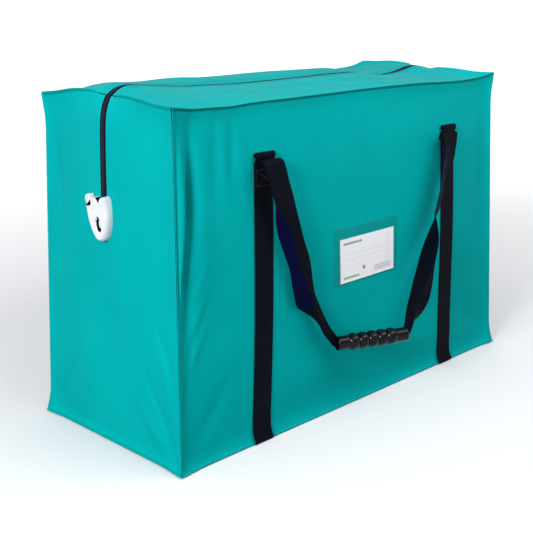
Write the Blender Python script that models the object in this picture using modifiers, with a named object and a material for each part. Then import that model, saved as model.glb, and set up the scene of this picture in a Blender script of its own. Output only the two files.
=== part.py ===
"""Cash deposit bag: a large zipped holdall in coated fabric, with two webbing
body straps, two swinging webbing handles with ribbed grips, a label pocket and
a sealed zip lock on its left end.

Metres, +Z up. The front (label side) faces -Y and the locked end faces -X.
Everything is built about the middle of the bag's footprint, and the whole bag
is then moved along X so that the origin is the bottom centre of its box.
"""
import math

import bmesh
import bpy
from mathutils import Euler, Matrix, Vector

# ---------------------------------------------------------------- dimensions
BAG_WIDTH = 0.760
BAG_DEPTH = 0.310
BAG_HEIGHT = 0.510
FABRIC = 0.0014              # coated fabric with its backing
GAP = 0.0003                 # clearance between touching pieces

STRAP_WIDTH = 0.038          # standard bag webbing
STRAP_THICKNESS = 0.0018
STRAP_TOP = 0.4335
# Each body strap: name, centre at the base, centre at the top of the leg.
STRAPS = (("left", -0.229, -0.210), ("right", 0.240, 0.240))

ANCHOR_HEIGHT = 0.045        # sewn patch over the top of each strap leg
ANCHOR_THICKNESS = 0.0022
CAP_HEIGHT = 0.011           # rolled end of the patch
CAP_DEPTH = 0.0054
LIP_HEIGHT = 0.002           # fold that leads from the cap to the free webbing
HINGE_OUT = 0.0125           # handle swing axis, outwards from the panel
HINGE_HEIGHT = 0.4235

WEB_THICKNESS = 0.002
FOLDED_WIDTH = 0.0172        # handle webbing folded to pass through the grip
FOLDED_THICKNESS = 0.0034
FOLD_HEIGHTS = (0.215, 0.145)    # folding starts and is complete
# Handle webbing below the left anchor and up to the right one: x, distance out, height.
HANDLE_LEFT = ((-0.201, 0.0165, 0.410), (-0.195, 0.0190, 0.370), (-0.181, 0.0210, 0.324),
               (-0.168, 0.0230, 0.280), (-0.155, 0.0250, 0.228), (-0.138, 0.0255, 0.180),
               (-0.112, 0.0235, 0.142))
HANDLE_RIGHT = ((0.064, 0.0830, 0.152), (0.091, 0.0640, 0.200), (0.122, 0.0520, 0.243),
                (0.148, 0.0420, 0.285), (0.168, 0.0340, 0.318), (0.192, 0.0250, 0.365),
                (0.213, 0.0180, 0.405))
HANDLE_TOP_X = (-0.203, 0.219)   # where the webbing leaves its anchors
BORE_ENTRY = 0.010               # last free point, ahead of each grip end

GRIP_LENGTH = 0.1245
GRIP_HEIGHT = 0.123
GRIP_START = (-0.080, 0.026)     # x and distance out from the panel, left end
GRIP_YAW = math.radians(23.7)    # the right end stands further out
GRIP_RIDGE_RADIUS = 0.0133
GRIP_VALLEY_RADIUS = 0.0105
GRIP_END_RADIUS = 0.0111
GRIP_BORE_RADIUS = 0.0092
GRIP_RIDGES = 5
GRIP_END_LENGTH = 0.0205

ZIP_OPENING = 0.0075         # half width of the slit between the fabric edges
TAPE_WIDTH = 0.0095
TAPE_THICKNESS = 0.0008
TEETH_WIDTH = 0.0036
TEETH_DEPTH = 0.0024
TEETH_GAP = 0.0018           # room for the slider's neck
ZIP_LEFT_BOTTOM = 0.345      # the zip runs down both ends
ZIP_RIGHT_BOTTOM = 0.405
TAB_SIZE = (0.036, 0.026)    # webbing tab over the zip's right end
TAB_DEPTH = 0.004

LOCK_CENTRE = (0.004, 0.347)     # y and z of the lock housing
LOCK_TILT = math.radians(8.0)
LOCK_DEPTH = 0.016
LOCK_CAVITY_DEPTH = 0.012
LOCK_CAVITY_HALF = 0.0075
LOCK_CAVITY_BOTTOM = 0.318
LOCK_CAVITY_TOP = 0.407
CUT_THROUGH = 0.01           # cutters reach this far past a face
LOCK_AXIS = -0.006           # notch and slot, along the housing's own width
LOCK_NOTCH = ((0.0065, 0.0312), (0.0028, 0.0290), (0, 0.0238))      # half width and height
# Rear edge of the housing from the notch down, across and up from its centre; the front edge mirrors it.
LOCK_EDGE = ((0.0190, 0.0315), (0.0228, 0.0300), (0.0248, 0.0262), (0.0250, 0.0085), (0.0215, -0.0060),
             (0.0170, -0.0175), (0.0115, -0.0270), (0.0060, -0.0315))
LOCK_FOOT = (0, -0.0325)
KEYHOLE_HALVES = (0.0072, 0.0033)    # half widths of the slot and of its neck
KEYHOLE_LEVELS = (-0.0170, -0.0085, -0.0065, -0.0010)    # arc centre, slot top, neck foot and neck top
LOCK_STEP = (0.0153, 0.0232)     # corner that the seal fills
RIVET_PLACES = ((-0.0215, 0.006), (0.0215, 0.006), (-0.0122, -0.017), (0.0122, -0.017))
RIVET_RADIUS = 0.0016
RIVET_HEAD = (0.0032, 0.0012)        # radius and thickness
BACK_PLATE_THICKNESS = 0.002
BACK_PLATE_HALF = 0.0255
BACK_PLATE_LEVELS = (-0.0215, -0.009, 0.0225)    # foot, foot of the slot and top, from the lock's centre

SEAL_WIDTH = 0.013
SEAL_HEIGHT = 0.015
SEAL_DEPTH = 0.009
SEAL_PRONG = 0.003
SEAL_PRONG_LENGTH = 0.014
SEAL_PRONG_PLACE = 0.0200

SLIDER_CENTRE = 0.362
SLIDER_HEIGHT = 0.016
SLIDER_WIDTH = 0.010
SLIDER_WING = 0.002
SLIDER_NECK = 0.0012
TONGUE_BAR = 0.0017
TONGUE_WIDTH = 0.0045
TONGUE_Y = -0.0015
TONGUE_LEVELS = (0.3225, 0.338, 0.368)       # foot, tip of the hook and top

WINDOW_X = (-0.066, 0.095)
WINDOW_Z = (0.205, 0.300)
WINDOW_BORDER = 0.005
BORDER_THICKNESS = 0.0008
FILM_THICKNESS = 0.0005
CARD_X = (-0.050, 0.086)
CARD_Z = (0.2103, 0.2815)
CARD_THICKNESS = 0.0004

BASE_LEVEL = STRAP_THICKNESS + GAP           # underside of the fabric
WALL_TOP = BAG_HEIGHT - FABRIC - GAP         # top edge of the four walls
HALF_WIDTH = BAG_WIDTH / 2
HALF_DEPTH = BAG_DEPTH / 2
CENTRE_SHIFT = (LOCK_DEPTH - TAB_DEPTH) / 2  # box centre of the whole bag
CIRCLE_SEGMENTS = 16
TURNED_SEGMENTS = 24
PATH_STEPS = 2


# ---------------------------------------------------------------- scene setup
def clear_scene():
    for item in list(bpy.data.objects):
        bpy.data.objects.remove(item, do_unlink=True)


def make_collection(name):
    collection = bpy.data.collections.new(name)
    bpy.context.scene.collection.children.link(collection)
    return collection


def make_material(name, colour, roughness, metallic=0.0, alpha=1.0):
    material = bpy.data.materials.new(name)
    material.use_nodes = True
    shader = material.node_tree.nodes["Principled BSDF"]
    shader.inputs["Base Color"].default_value = (*colour, 1.0)
    shader.inputs["Roughness"].default_value = roughness
    shader.inputs["Metallic"].default_value = metallic
    shader.inputs["Alpha"].default_value = alpha
    return material


clear_scene()
BAG_PARTS = make_collection("cash_deposit_bag")
CUTTERS = make_collection("cutters")
TEAL_FABRIC = make_material("teal_fabric", (0.0, 0.42, 0.40), 0.55)
BLACK_WEBBING = make_material("black_webbing", (0.008, 0.007, 0.013), 0.75)
ZIP_TAPE = make_material("zip_tape", (0.012, 0.012, 0.020), 0.8)
ZIP_TEETH = make_material("zip_teeth", (0.015, 0.015, 0.022), 0.35)
LOCK_PLASTIC = make_material("lock_plastic", (0.80, 0.80, 0.82), 0.35)
RIVET_STEEL = make_material("rivet_steel", (0.55, 0.55, 0.56), 0.3, metallic=1.0)
GRIP_RUBBER = make_material("grip_rubber", (0.010, 0.010, 0.014), 0.25)
CLEAR_FILM = make_material("clear_film", (0.55, 0.78, 0.78), 0.12, alpha=0.3)
CARD_STOCK = make_material("card_stock", (0.80, 0.80, 0.84), 0.6)


def make_empty(name, location, parent=None):
    empty = bpy.data.objects.new(name, None)
    empty.empty_display_size = 0.03
    BAG_PARTS.objects.link(empty)
    empty.location = location
    bpy.context.view_layer.update()
    if parent is not None:
        attach(empty, parent)
    return empty


def attach(item, parent):
    """Parent item to parent and leave it where it stands."""
    item.parent = parent
    item.matrix_parent_inverse = parent.matrix_world.inverted()
    bpy.context.view_layer.update()


def add_object(name, data, material, parent, location=(0, 0, 0), rotation=(0, 0, 0)):
    item = bpy.data.objects.new(name, data)
    BAG_PARTS.objects.link(item)
    item.location = location
    item.rotation_euler = rotation
    data.materials.append(material)
    attach(item, parent)
    return item


# ---------------------------------------------------------------- shape tools
def box_mesh(name, size):
    """A box about its own middle, its size already applied."""
    mesh = bpy.data.meshes.new(name)
    shape = bmesh.new()
    bmesh.ops.create_cube(shape, size=1.0, matrix=Matrix.Diagonal((*size, 1.0)))
    shape.to_mesh(mesh)
    shape.free()
    return mesh


def add_box(name, low, high, material, parent, rotation=(0, 0, 0)):
    low, high = Vector(low), Vector(high)
    return add_object(name, box_mesh(name, high - low), material, parent, (low + high) / 2, rotation)


def add_plate(name, outlines, thickness, material, parent, location, rotation):
    """A flat outline, its holes as further outlines, with half its thickness each way."""
    curve = bpy.data.curves.new(name, "CURVE")
    curve.dimensions = "2D"
    curve.fill_mode = "BOTH"
    curve.extrude = thickness / 2
    for outline in outlines:
        spline = curve.splines.new("POLY")
        spline.points.add(len(outline) - 1)
        for point, (x, y) in zip(spline.points, outline):
            point.co = (x, y, 0, 1)
        spline.use_cyclic_u = True
    return add_object(name, curve, material, parent, location, rotation)


def plate_to_mesh(item):
    """Turn a plate's curve into a welded mesh object of the same name and place."""
    name, parent, matrix = item.name, item.parent, item.matrix_world.copy()
    material = item.data.materials[0]
    evaluated = item.evaluated_get(bpy.context.evaluated_depsgraph_get())
    mesh = bpy.data.meshes.new_from_object(evaluated)
    shape = bmesh.new()
    shape.from_mesh(mesh)
    bmesh.ops.remove_doubles(shape, verts=shape.verts, dist=1e-6)
    shape.to_mesh(mesh)
    shape.free()
    bpy.data.objects.remove(item, do_unlink=True)
    mesh.materials.clear()
    solid = add_object(name, mesh, material, parent)
    solid.matrix_world = matrix
    bpy.context.view_layer.update()
    return solid


def cut_box(target, low, high, rotation=(0, 0, 0)):
    """Cut a box-shaped space out of target, with a Boolean that stays on it."""
    low, high = Vector(low), Vector(high)
    name = f"{target.name}_space_{len(target.modifiers) + 1}"
    cutter = bpy.data.objects.new(name, box_mesh(name, high - low))
    CUTTERS.objects.link(cutter)
    cutter.location = (low + high) / 2
    cutter.rotation_euler = rotation
    cutter.display_type = "WIRE"
    cutter.hide_render = True
    attach(cutter, target.parent)
    cut = target.modifiers.new("cut", "BOOLEAN")
    cut.operation = "DIFFERENCE"
    cut.solver = "EXACT"
    cut.object = cutter


def add_lofted_strip(name, stations, material, parent):
    """A closed strip through stations of (centre, across, out, width, thickness)."""
    shape = bmesh.new()
    rings = []
    for centre, across, out, width, thickness in stations:
        corners = ((-1, -1), (1, -1), (1, 1), (-1, 1))
        rings.append([shape.verts.new(centre + across * (width / 2 * a) + out * (thickness / 2 * b))
                      for a, b in corners])
    for ring, following in zip(rings, rings[1:]):
        for k in range(4):
            n = (k + 1) % 4
            shape.faces.new((ring[k], ring[n], following[n], following[k]))
    shape.faces.new(rings[0][::-1])
    shape.faces.new(rings[-1])
    bmesh.ops.triangulate(shape, faces=shape.faces)
    bmesh.ops.recalc_face_normals(shape, faces=shape.faces)
    mesh = bpy.data.meshes.new(name)
    shape.to_mesh(mesh)
    shape.free()
    return add_object(name, mesh, material, parent)


def add_turned(name, profile, material, parent, location, direction):
    """Turn a profile of (along, radius) about the line through location.

    A profile that starts and ends on the axis stays open there; any other is closed.
    """
    mesh = bpy.data.meshes.new(name)
    shape = bmesh.new()
    corners = [shape.verts.new((radius, 0, along)) for along, radius in profile]
    for corner, following in zip(corners, corners[1:]):
        shape.edges.new((corner, following))
    if profile[0][1] > 0:
        shape.edges.new((corners[-1], corners[0]))
    shape.to_mesh(mesh)
    shape.free()
    rotation = Vector(direction).to_track_quat("Z", "Y").to_euler()
    item = add_object(name, mesh, material, parent, location, rotation)
    screw = item.modifiers.new("turn", "SCREW")
    screw.axis = "Z"
    screw.steps = screw.render_steps = TURNED_SEGMENTS
    screw.use_merge_vertices = True
    screw.merge_threshold = 1e-5
    return item


def circle(centre, radius):
    turns = [2 * math.pi * k / CIRCLE_SEGMENTS for k in range(CIRCLE_SEGMENTS)]
    return [(centre[0] + radius * math.cos(t), centre[1] + radius * math.sin(t)) for t in turns]


def rectangle(low, high):
    return [(low[0], low[1]), (high[0], low[1]), (high[0], high[1]), (low[0], high[1])]


def smooth_path(points, steps):
    """Catmull-Rom curve through points, with steps intervals between each two."""
    points = [Vector(p) for p in points]
    padded = [points[0] * 2 - points[1], *points, points[-1] * 2 - points[-2]]
    path = []
    for a, b, c, d in zip(padded, padded[1:], padded[2:], padded[3:]):
        for k in range(steps):
            t = k / steps
            path.append(0.5 * (2 * b + (c - a) * t + (2 * a - 5 * b + 4 * c - d) * t**2
                               + (3 * b - a - 3 * c + d) * t**3))
    path.append(points[-1])
    return path


END_WALL = (math.pi / 2, 0, math.pi / 2)     # a plate's x and y become Y and Z


# ---------------------------------------------------------------- bag shell
def build_walls(bag):
    inner = HALF_DEPTH - FABRIC
    for name, side in (("front_panel", -1), ("back_panel", 1)):
        faces = sorted((side * HALF_DEPTH, side * inner))
        add_box(name, (-HALF_WIDTH, faces[0], BASE_LEVEL), (HALF_WIDTH, faces[1], WALL_TOP), TEAL_FABRIC, bag)
    inside_x = HALF_WIDTH - FABRIC - GAP
    inside_y = inner - GAP
    add_box("base_panel", (-inside_x, -inside_y, BASE_LEVEL), (inside_x, inside_y, BASE_LEVEL + FABRIC),
            TEAL_FABRIC, bag)
    for name, side, bottom, holes in (("left_end_panel", -1, ZIP_LEFT_BOTTOM, rivet_centres()),
                                      ("right_end_panel", 1, ZIP_RIGHT_BOTTOM, [])):
        outline = [(-inside_y, BASE_LEVEL), (inside_y, BASE_LEVEL), (inside_y, WALL_TOP),
                   (ZIP_OPENING, WALL_TOP), (ZIP_OPENING, bottom), (-ZIP_OPENING, bottom),
                   (-ZIP_OPENING, WALL_TOP), (-inside_y, WALL_TOP)]
        outlines = [outline] + [circle(hole, RIVET_RADIUS + GAP) for hole in holes]
        place = (side * (HALF_WIDTH - FABRIC / 2), 0, 0)
        add_plate(name, outlines, FABRIC, TEAL_FABRIC, bag, place, END_WALL)


def build_flap(side_name, side, flap):
    """One half of the top with its half of the zip; side is -1 at the front."""
    faces = sorted((side * HALF_DEPTH, side * ZIP_OPENING))
    add_box(f"top_{side_name}_panel", (-HALF_WIDTH, faces[0], BAG_HEIGHT - FABRIC),
            (HALF_WIDTH, faces[1], BAG_HEIGHT), TEAL_FABRIC, flap)
    length = HALF_WIDTH - FABRIC - TEETH_DEPTH - 2 * GAP
    tape_top = BAG_HEIGHT - FABRIC - GAP
    edges = zip_edges(side)
    add_box(f"zip_top_{side_name}_tape", (-length, edges["tape"][0], tape_top - TAPE_THICKNESS),
            (length, edges["tape"][1], tape_top), ZIP_TAPE, flap)
    add_box(f"zip_top_{side_name}_teeth", (-length, edges["teeth"][0], BAG_HEIGHT - TEETH_DEPTH),
            (length, edges["teeth"][1], BAG_HEIGHT), ZIP_TEETH, flap)


def zip_edges(side):
    """Where one half of the zip lies across the slit, on the given side."""
    teeth_inner = TEETH_GAP / 2
    teeth_outer = teeth_inner + TEETH_WIDTH
    tape_inner = teeth_outer + GAP
    return {"teeth": sorted((side * teeth_inner, side * teeth_outer)),
            "tape": sorted((side * tape_inner, side * (tape_inner + TAPE_WIDTH)))}


def build_end_zips(bag):
    top = BAG_HEIGHT - TEETH_DEPTH - GAP
    for end_name, end, bottom in (("left", -1, ZIP_LEFT_BOTTOM), ("right", 1, ZIP_RIGHT_BOTTOM)):
        tape_x = sorted(end * (HALF_WIDTH - FABRIC - GAP - depth) for depth in (0, TAPE_THICKNESS))
        teeth_x = sorted(end * (HALF_WIDTH - depth) for depth in (0, TEETH_DEPTH))
        for side_name, side in (("front", -1), ("rear", 1)):
            edges = zip_edges(side)
            add_box(f"zip_{end_name}_{side_name}_tape", (tape_x[0], edges["tape"][0], bottom),
                    (tape_x[1], edges["tape"][1], WALL_TOP - TAPE_THICKNESS - GAP), ZIP_TAPE, bag)
            add_box(f"zip_{end_name}_{side_name}_teeth", (teeth_x[0], edges["teeth"][0], bottom + GAP),
                    (teeth_x[1], edges["teeth"][1], top), ZIP_TEETH, bag)
    face = HALF_WIDTH + GAP
    add_box("zip_end_tab", (face, -TAB_SIZE[0] / 2, ZIP_RIGHT_BOTTOM - TAB_SIZE[1] / 2),
            (HALF_WIDTH + TAB_DEPTH, TAB_SIZE[0] / 2, ZIP_RIGHT_BOTTOM + TAB_SIZE[1] / 2), BLACK_WEBBING, bag)


# ---------------------------------------------------------------- lock
def on_lock(across, up):
    """A place on the tilted housing, as (y, z)."""
    cos, sin = math.cos(LOCK_TILT), math.sin(LOCK_TILT)
    return (LOCK_CENTRE[0] + across * cos + up * sin, LOCK_CENTRE[1] - across * sin + up * cos)


def rivet_centres():
    return [on_lock(*place) for place in RIVET_PLACES]


def lock_outline():
    """Rounded shield with a notch for the zip and a step for the seal."""
    notch = [(LOCK_AXIS + half, up) for half, up in LOCK_NOTCH]
    notch += [(LOCK_AXIS - half, up) for half, up in LOCK_NOTCH[-2::-1]]
    shoulder, widest = LOCK_EDGE[0], LOCK_EDGE[3]
    step = [widest, (widest[0], LOCK_STEP[1]), LOCK_STEP, (LOCK_STEP[0], shoulder[1])]
    front_half = [(-across, up) for across, up in LOCK_EDGE]
    rear_half = list(LOCK_EDGE[:3:-1])
    return notch + front_half + [LOCK_FOOT] + rear_half + step


def keyhole_outline():
    half, neck_half = KEYHOLE_HALVES
    arc_centre, slot_top, neck_foot, neck_top = KEYHOLE_LEVELS
    outline = [(LOCK_AXIS + half * math.cos(t), arc_centre + half * math.sin(t))
               for t in [math.pi + math.pi * k / 8 for k in range(9)]]
    sides = [(half, slot_top), (neck_half, neck_foot), (neck_half, neck_top)]
    outline += [(LOCK_AXIS + across, up) for across, up in sides]
    return outline + [(LOCK_AXIS - across, up) for across, up in reversed(sides)]


def build_lock(bag):
    face_x = -HALF_WIDTH - GAP
    depth = LOCK_DEPTH - GAP
    centre = (face_x - depth / 2, *LOCK_CENTRE)
    turn = Euler((-LOCK_TILT, 0, 0)).to_matrix() @ Euler(END_WALL).to_matrix()
    housing = add_plate("lock_housing", [lock_outline(), keyhole_outline()], depth, LOCK_PLASTIC, bag,
                        centre, turn.to_euler())
    housing = plate_to_mesh(housing)
    cavity_face = -HALF_WIDTH - LOCK_CAVITY_DEPTH
    cut_box(housing, (cavity_face, -LOCK_CAVITY_HALF, LOCK_CAVITY_BOTTOM),
            (-HALF_WIDTH + CUT_THROUGH, LOCK_CAVITY_HALF, LOCK_CAVITY_TOP))
    channel = SEAL_PRONG + 2 * GAP
    middle = on_lock(SEAL_PRONG_PLACE, LOCK_STEP[1])
    length = 2 * (SEAL_PRONG_LENGTH + GAP)
    seal_x = -HALF_WIDTH - LOCK_DEPTH / 2
    cut_box(housing, (seal_x - channel / 2, middle[0] - channel / 2, middle[1] - length / 2),
            (seal_x + channel / 2, middle[0] + channel / 2, middle[1] + length / 2), (-LOCK_TILT, 0, 0))
    build_back_plate(bag)


def build_back_plate(bag):
    """U-shaped plate inside the bag that the rivets clamp to the housing."""
    outer = HALF_WIDTH - TEETH_DEPTH - 2 * GAP
    half = BACK_PLATE_HALF
    foot, notch_foot, head = BACK_PLATE_LEVELS
    front, rear = -ZIP_OPENING - LOCK_CENTRE[0], ZIP_OPENING - LOCK_CENTRE[0]
    outline = [(-half, foot), (half, foot), (half, head), (rear, head), (rear, notch_foot),
               (front, notch_foot), (front, head), (-half, head)]
    holes = [circle((y - LOCK_CENTRE[0], z - LOCK_CENTRE[1]), RIVET_RADIUS + GAP) for y, z in rivet_centres()]
    add_plate("lock_back_plate", [outline, *holes], BACK_PLATE_THICKNESS, LOCK_PLASTIC, bag,
              (-(outer - BACK_PLATE_THICKNESS / 2), *LOCK_CENTRE), END_WALL)
    head_start = outer - BACK_PLATE_THICKNESS - GAP
    shank_end = HALF_WIDTH
    head_radius, head_thickness = RIVET_HEAD
    length = shank_end - head_start + head_thickness
    profile = [(0, 0), (0, head_radius), (head_thickness, head_radius), (head_thickness, RIVET_RADIUS),
               (length, RIVET_RADIUS), (length, 0)]
    for k, (y, z) in enumerate(rivet_centres()):
        item = add_turned(f"lock_rivet_{k + 1}", profile[::-1], RIVET_STEEL, bag,
                          (-head_start + head_thickness, y, z), (-1, 0, 0))
        item.modifiers["turn"].steps = item.modifiers["turn"].render_steps = CIRCLE_SEGMENTS


def build_seal(seal):
    """Tag that stands in the housing's corner, with a prong in its channel."""
    x = -HALF_WIDTH - LOCK_DEPTH / 2
    middle = on_lock(LOCK_STEP[0] + GAP + SEAL_WIDTH / 2, LOCK_STEP[1] + GAP + SEAL_HEIGHT / 2)
    tag_mesh = box_mesh("seal_tag", (SEAL_DEPTH, SEAL_WIDTH, SEAL_HEIGHT))
    tag = add_object("seal_tag", tag_mesh, LOCK_PLASTIC, seal, (x, *middle), (-LOCK_TILT, 0, 0))
    prong_mesh = box_mesh("seal_prong", (SEAL_PRONG, SEAL_PRONG, SEAL_PRONG_LENGTH))
    prong = bpy.data.objects.new("seal_prong", prong_mesh)
    CUTTERS.objects.link(prong)
    prong.location = (x, *on_lock(SEAL_PRONG_PLACE, LOCK_STEP[1] + 2 * GAP - SEAL_PRONG_LENGTH / 2 + 0.001))
    prong.rotation_euler = (-LOCK_TILT, 0, 0)
    prong.display_type = "WIRE"
    prong.hide_render = True
    attach(prong, seal)
    join = tag.modifiers.new("join", "BOOLEAN")
    join.operation = "UNION"
    join.solver = "EXACT"
    join.object = prong


def build_slider(slider):
    """H-section slider on the teeth, and its hooked tongue seen through the keyhole."""
    outer = -HALF_WIDTH - GAP
    inner = -HALF_WIDTH + TEETH_DEPTH + GAP
    wing, neck = SLIDER_WIDTH / 2, SLIDER_NECK / 2
    outline = [(outer - SLIDER_WING, -wing), (outer, -wing), (outer, -neck), (inner, -neck), (inner, -wing),
               (inner + SLIDER_WING, -wing), (inner + SLIDER_WING, wing), (inner, wing), (inner, neck),
               (outer, neck), (outer, wing), (outer - SLIDER_WING, wing)]
    add_plate("zip_slider", [outline], SLIDER_HEIGHT, ZIP_TEETH, slider, (0, 0, SLIDER_CENTRE), (0, 0, 0))
    back = HALF_WIDTH + 2 * GAP + SLIDER_WING
    front = HALF_WIDTH + LOCK_CAVITY_DEPTH - 2 * GAP
    bar = TONGUE_BAR
    foot, tip, top = TONGUE_LEVELS
    hook = [(-back, top), (-back - bar, top), (-back - bar, foot + bar), (-front + bar, foot + bar),
            (-front + bar, tip), (-front, tip), (-front, foot), (-back, foot)]
    upright = (math.pi / 2, 0, 0)
    add_plate("slider_tongue", [hook], TONGUE_WIDTH, LOCK_PLASTIC, slider, (0, TONGUE_Y, 0), upright)


# ---------------------------------------------------------------- straps and handles
def strap_leg_centre(base_x, top_x, height):
    return base_x + (top_x - base_x) * height / STRAP_TOP


def build_strap(name, base_x, top_x, bag):
    """One length of webbing: up the front, under the base and up the back."""
    out = HALF_DEPTH + GAP + STRAP_THICKNESS / 2
    level = STRAP_THICKNESS / 2
    corners = [(top_x, -out, STRAP_TOP), (base_x, -out, level), (base_x, out, level), (top_x, out, STRAP_TOP)]
    across = Vector((1, 0, 0))
    outward = [Vector((0, -1, 0)), Vector((0, -1, -1)), Vector((0, 1, -1)), Vector((0, 1, 0))]
    stations = []
    for corner, out_direction in zip(corners, outward):
        stations.append((Vector(corner), across, out_direction, STRAP_WIDTH, STRAP_THICKNESS))
    add_lofted_strip(f"{name}_body_strap", stations, BLACK_WEBBING, bag)


def build_anchor(name, side, centre_x, bag):
    """Sewn patch, rolled cap and lip at the top of a strap leg."""
    back = HALF_DEPTH + STRAP_THICKNESS + 2 * GAP
    face = back + ANCHOR_THICKNESS
    cap = back + CAP_DEPTH
    lip = HALF_DEPTH + HINGE_OUT - WEB_THICKNESS / 2 - GAP
    top = STRAP_TOP
    cap_foot = top - CAP_HEIGHT
    lip_top = cap_foot + LIP_HEIGHT
    profile = [(back, top - ANCHOR_HEIGHT), (face, top - ANCHOR_HEIGHT), (face, cap_foot), (lip, cap_foot),
               (lip, lip_top), (cap, lip_top), (cap, top - 0.002), (cap - 0.002, top), (back, top)]
    outline = [(side * out, z) for out, z in profile]
    add_plate(name, [outline], STRAP_WIDTH, BLACK_WEBBING, bag, (centre_x, 0, 0), END_WALL)


def grip_ends(side):
    """Both end centres of a grip; side is -1 at the front."""
    start_x, start_out = GRIP_START
    start = Vector((start_x, side * (HALF_DEPTH + start_out), GRIP_HEIGHT))
    along = Vector((math.cos(GRIP_YAW), side * math.sin(GRIP_YAW), 0))
    return start, start + along * GRIP_LENGTH


def handle_route(side):
    """Centre points of one handle's webbing, from the left anchor to the right one."""
    def at(x, out, z):
        return Vector((x, side * (HALF_DEPTH + out), z))
    start, end = grip_ends(side)
    along = (end - start).normalized()
    left_top, right_top = (at(x, HINGE_OUT, HINGE_HEIGHT) for x in HANDLE_TOP_X)
    left = [left_top, *(at(*place) for place in HANDLE_LEFT), start - along * BORE_ENTRY]
    right = [end + along * BORE_ENTRY, *(at(*place) for place in HANDLE_RIGHT), right_top]
    return left, right


def add_handle_webbing(name, side, handle):
    """Webbing that narrows as it folds into the grip and widens again."""
    left, right = handle_route(side)
    path = smooth_path(left, PATH_STEPS) + smooth_path(right, PATH_STEPS)
    outward = Vector((0, side, 0))
    fold_start, fold_end = FOLD_HEIGHTS
    stations = []
    for k, point in enumerate(path):
        ahead = path[min(k + 1, len(path) - 1)]
        behind = path[max(k - 1, 0)]
        tangent = (ahead - behind).normalized()
        if k in (0, len(path) - 1):
            across = Vector((1, 0, 0))
        else:
            across = tangent.cross(outward).normalized() * -side
        out = across.cross(tangent).normalized()
        fold = min(max((fold_start - point.z) / (fold_start - fold_end), 0.0), 1.0)
        width = STRAP_WIDTH + (FOLDED_WIDTH - STRAP_WIDTH) * fold
        thickness = WEB_THICKNESS + (FOLDED_THICKNESS - WEB_THICKNESS) * fold
        stations.append((point, across, out, width, thickness))
    add_lofted_strip(name, stations, BLACK_WEBBING, handle)


def add_grip(name, side, grip):
    """Ribbed tube with plain ends and an open bore."""
    start, end = grip_ends(side)
    ribbed = GRIP_LENGTH - 2 * GRIP_END_LENGTH
    pitch = ribbed / GRIP_RIDGES
    outer = [(0, GRIP_END_RADIUS), (GRIP_END_LENGTH, GRIP_END_RADIUS)]
    for k in range(GRIP_RIDGES):
        ridge = GRIP_END_LENGTH + k * pitch
        valley, crest = GRIP_VALLEY_RADIUS, GRIP_RIDGE_RADIUS
        for share, radius in ((0.12, valley), (0.30, crest), (0.70, crest), (0.88, valley)):
            outer.append((ridge + share * pitch, radius))
    outer += [(GRIP_LENGTH - GRIP_END_LENGTH, GRIP_END_RADIUS), (GRIP_LENGTH, GRIP_END_RADIUS)]
    half = GRIP_LENGTH / 2
    profile = [(along - half, radius) for along, radius in outer]
    profile += [(half, GRIP_BORE_RADIUS), (-half, GRIP_BORE_RADIUS)]
    add_turned(name, profile[::-1], GRIP_RUBBER, grip, (start + end) / 2, end - start)


# ---------------------------------------------------------------- label pocket
def build_pocket(bag, label):
    border_back = HALF_DEPTH + GAP
    border_face = border_back + BORDER_THICKNESS
    film_back = border_face + GAP
    (x0, x1), (z0, z1) = WINDOW_X, WINDOW_Z
    inner_x0, inner_x1, inner_z0 = x0 + WINDOW_BORDER, x1 - WINDOW_BORDER, z0 + WINDOW_BORDER
    outline = [(x0, z0), (x1, z0), (x1, z1), (inner_x1, z1), (inner_x1, inner_z0), (inner_x0, inner_z0),
               (inner_x0, z1), (x0, z1)]
    upright = (math.pi / 2, 0, 0)
    add_plate("pocket_border", [outline], BORDER_THICKNESS, CLEAR_FILM, bag,
              (0, -(border_back + border_face) / 2, 0), upright)
    add_plate("pocket_window", [rectangle((x0, z0), (x1, z1))], FILM_THICKNESS, CLEAR_FILM, bag,
              (0, -(film_back + FILM_THICKNESS / 2), 0), upright)
    card_back = HALF_DEPTH + GAP
    add_box("label_card", (CARD_X[0], -card_back - CARD_THICKNESS, CARD_Z[0]),
            (CARD_X[1], -card_back, CARD_Z[1]), CARD_STOCK, label)


# ---------------------------------------------------------------- assembly
def build_bag():
    bag = make_empty("bag", (0, 0, 0))
    build_walls(bag)
    build_end_zips(bag)
    build_lock(bag)
    build_seal(make_empty("seal_slide", (-HALF_WIDTH - LOCK_DEPTH / 2, *on_lock(*LOCK_STEP)), bag))
    build_slider(make_empty("zip_slider_slide", (-HALF_WIDTH, 0, SLIDER_CENTRE), bag))
    build_pocket(bag, make_empty("label_slide", (sum(CARD_X) / 2, -HALF_DEPTH, CARD_Z[0]), bag))
    for name, base_x, top_x in STRAPS:
        build_strap(name, base_x, top_x, bag)
    for side_name, side in (("front", -1), ("rear", 1)):
        flap = make_empty(f"{side_name}_flap_hinge", (0, side * HALF_DEPTH, BAG_HEIGHT - FABRIC), bag)
        build_flap(side_name, side, flap)
        for name, base_x, top_x in STRAPS:
            build_anchor(f"{side_name}_{name}_anchor", side, top_x, bag)
        hinge = (0, side * (HALF_DEPTH + HINGE_OUT), HINGE_HEIGHT)
        handle = make_empty(f"{side_name}_handle_hinge", hinge, bag)
        add_handle_webbing(f"{side_name}_handle_webbing", side, handle)
        start, end = grip_ends(side)
        grip = make_empty(f"{side_name}_grip_axis", (start + end) / 2, handle)
        add_grip(f"{side_name}_grip", side, grip)
    bag.location.x = CENTRE_SHIFT


build_bag()
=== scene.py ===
"""Looks of the cash deposit bag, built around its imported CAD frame."""
import math

import bmesh
import bpy
import numpy as np
from mathutils import Matrix, Vector


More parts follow.
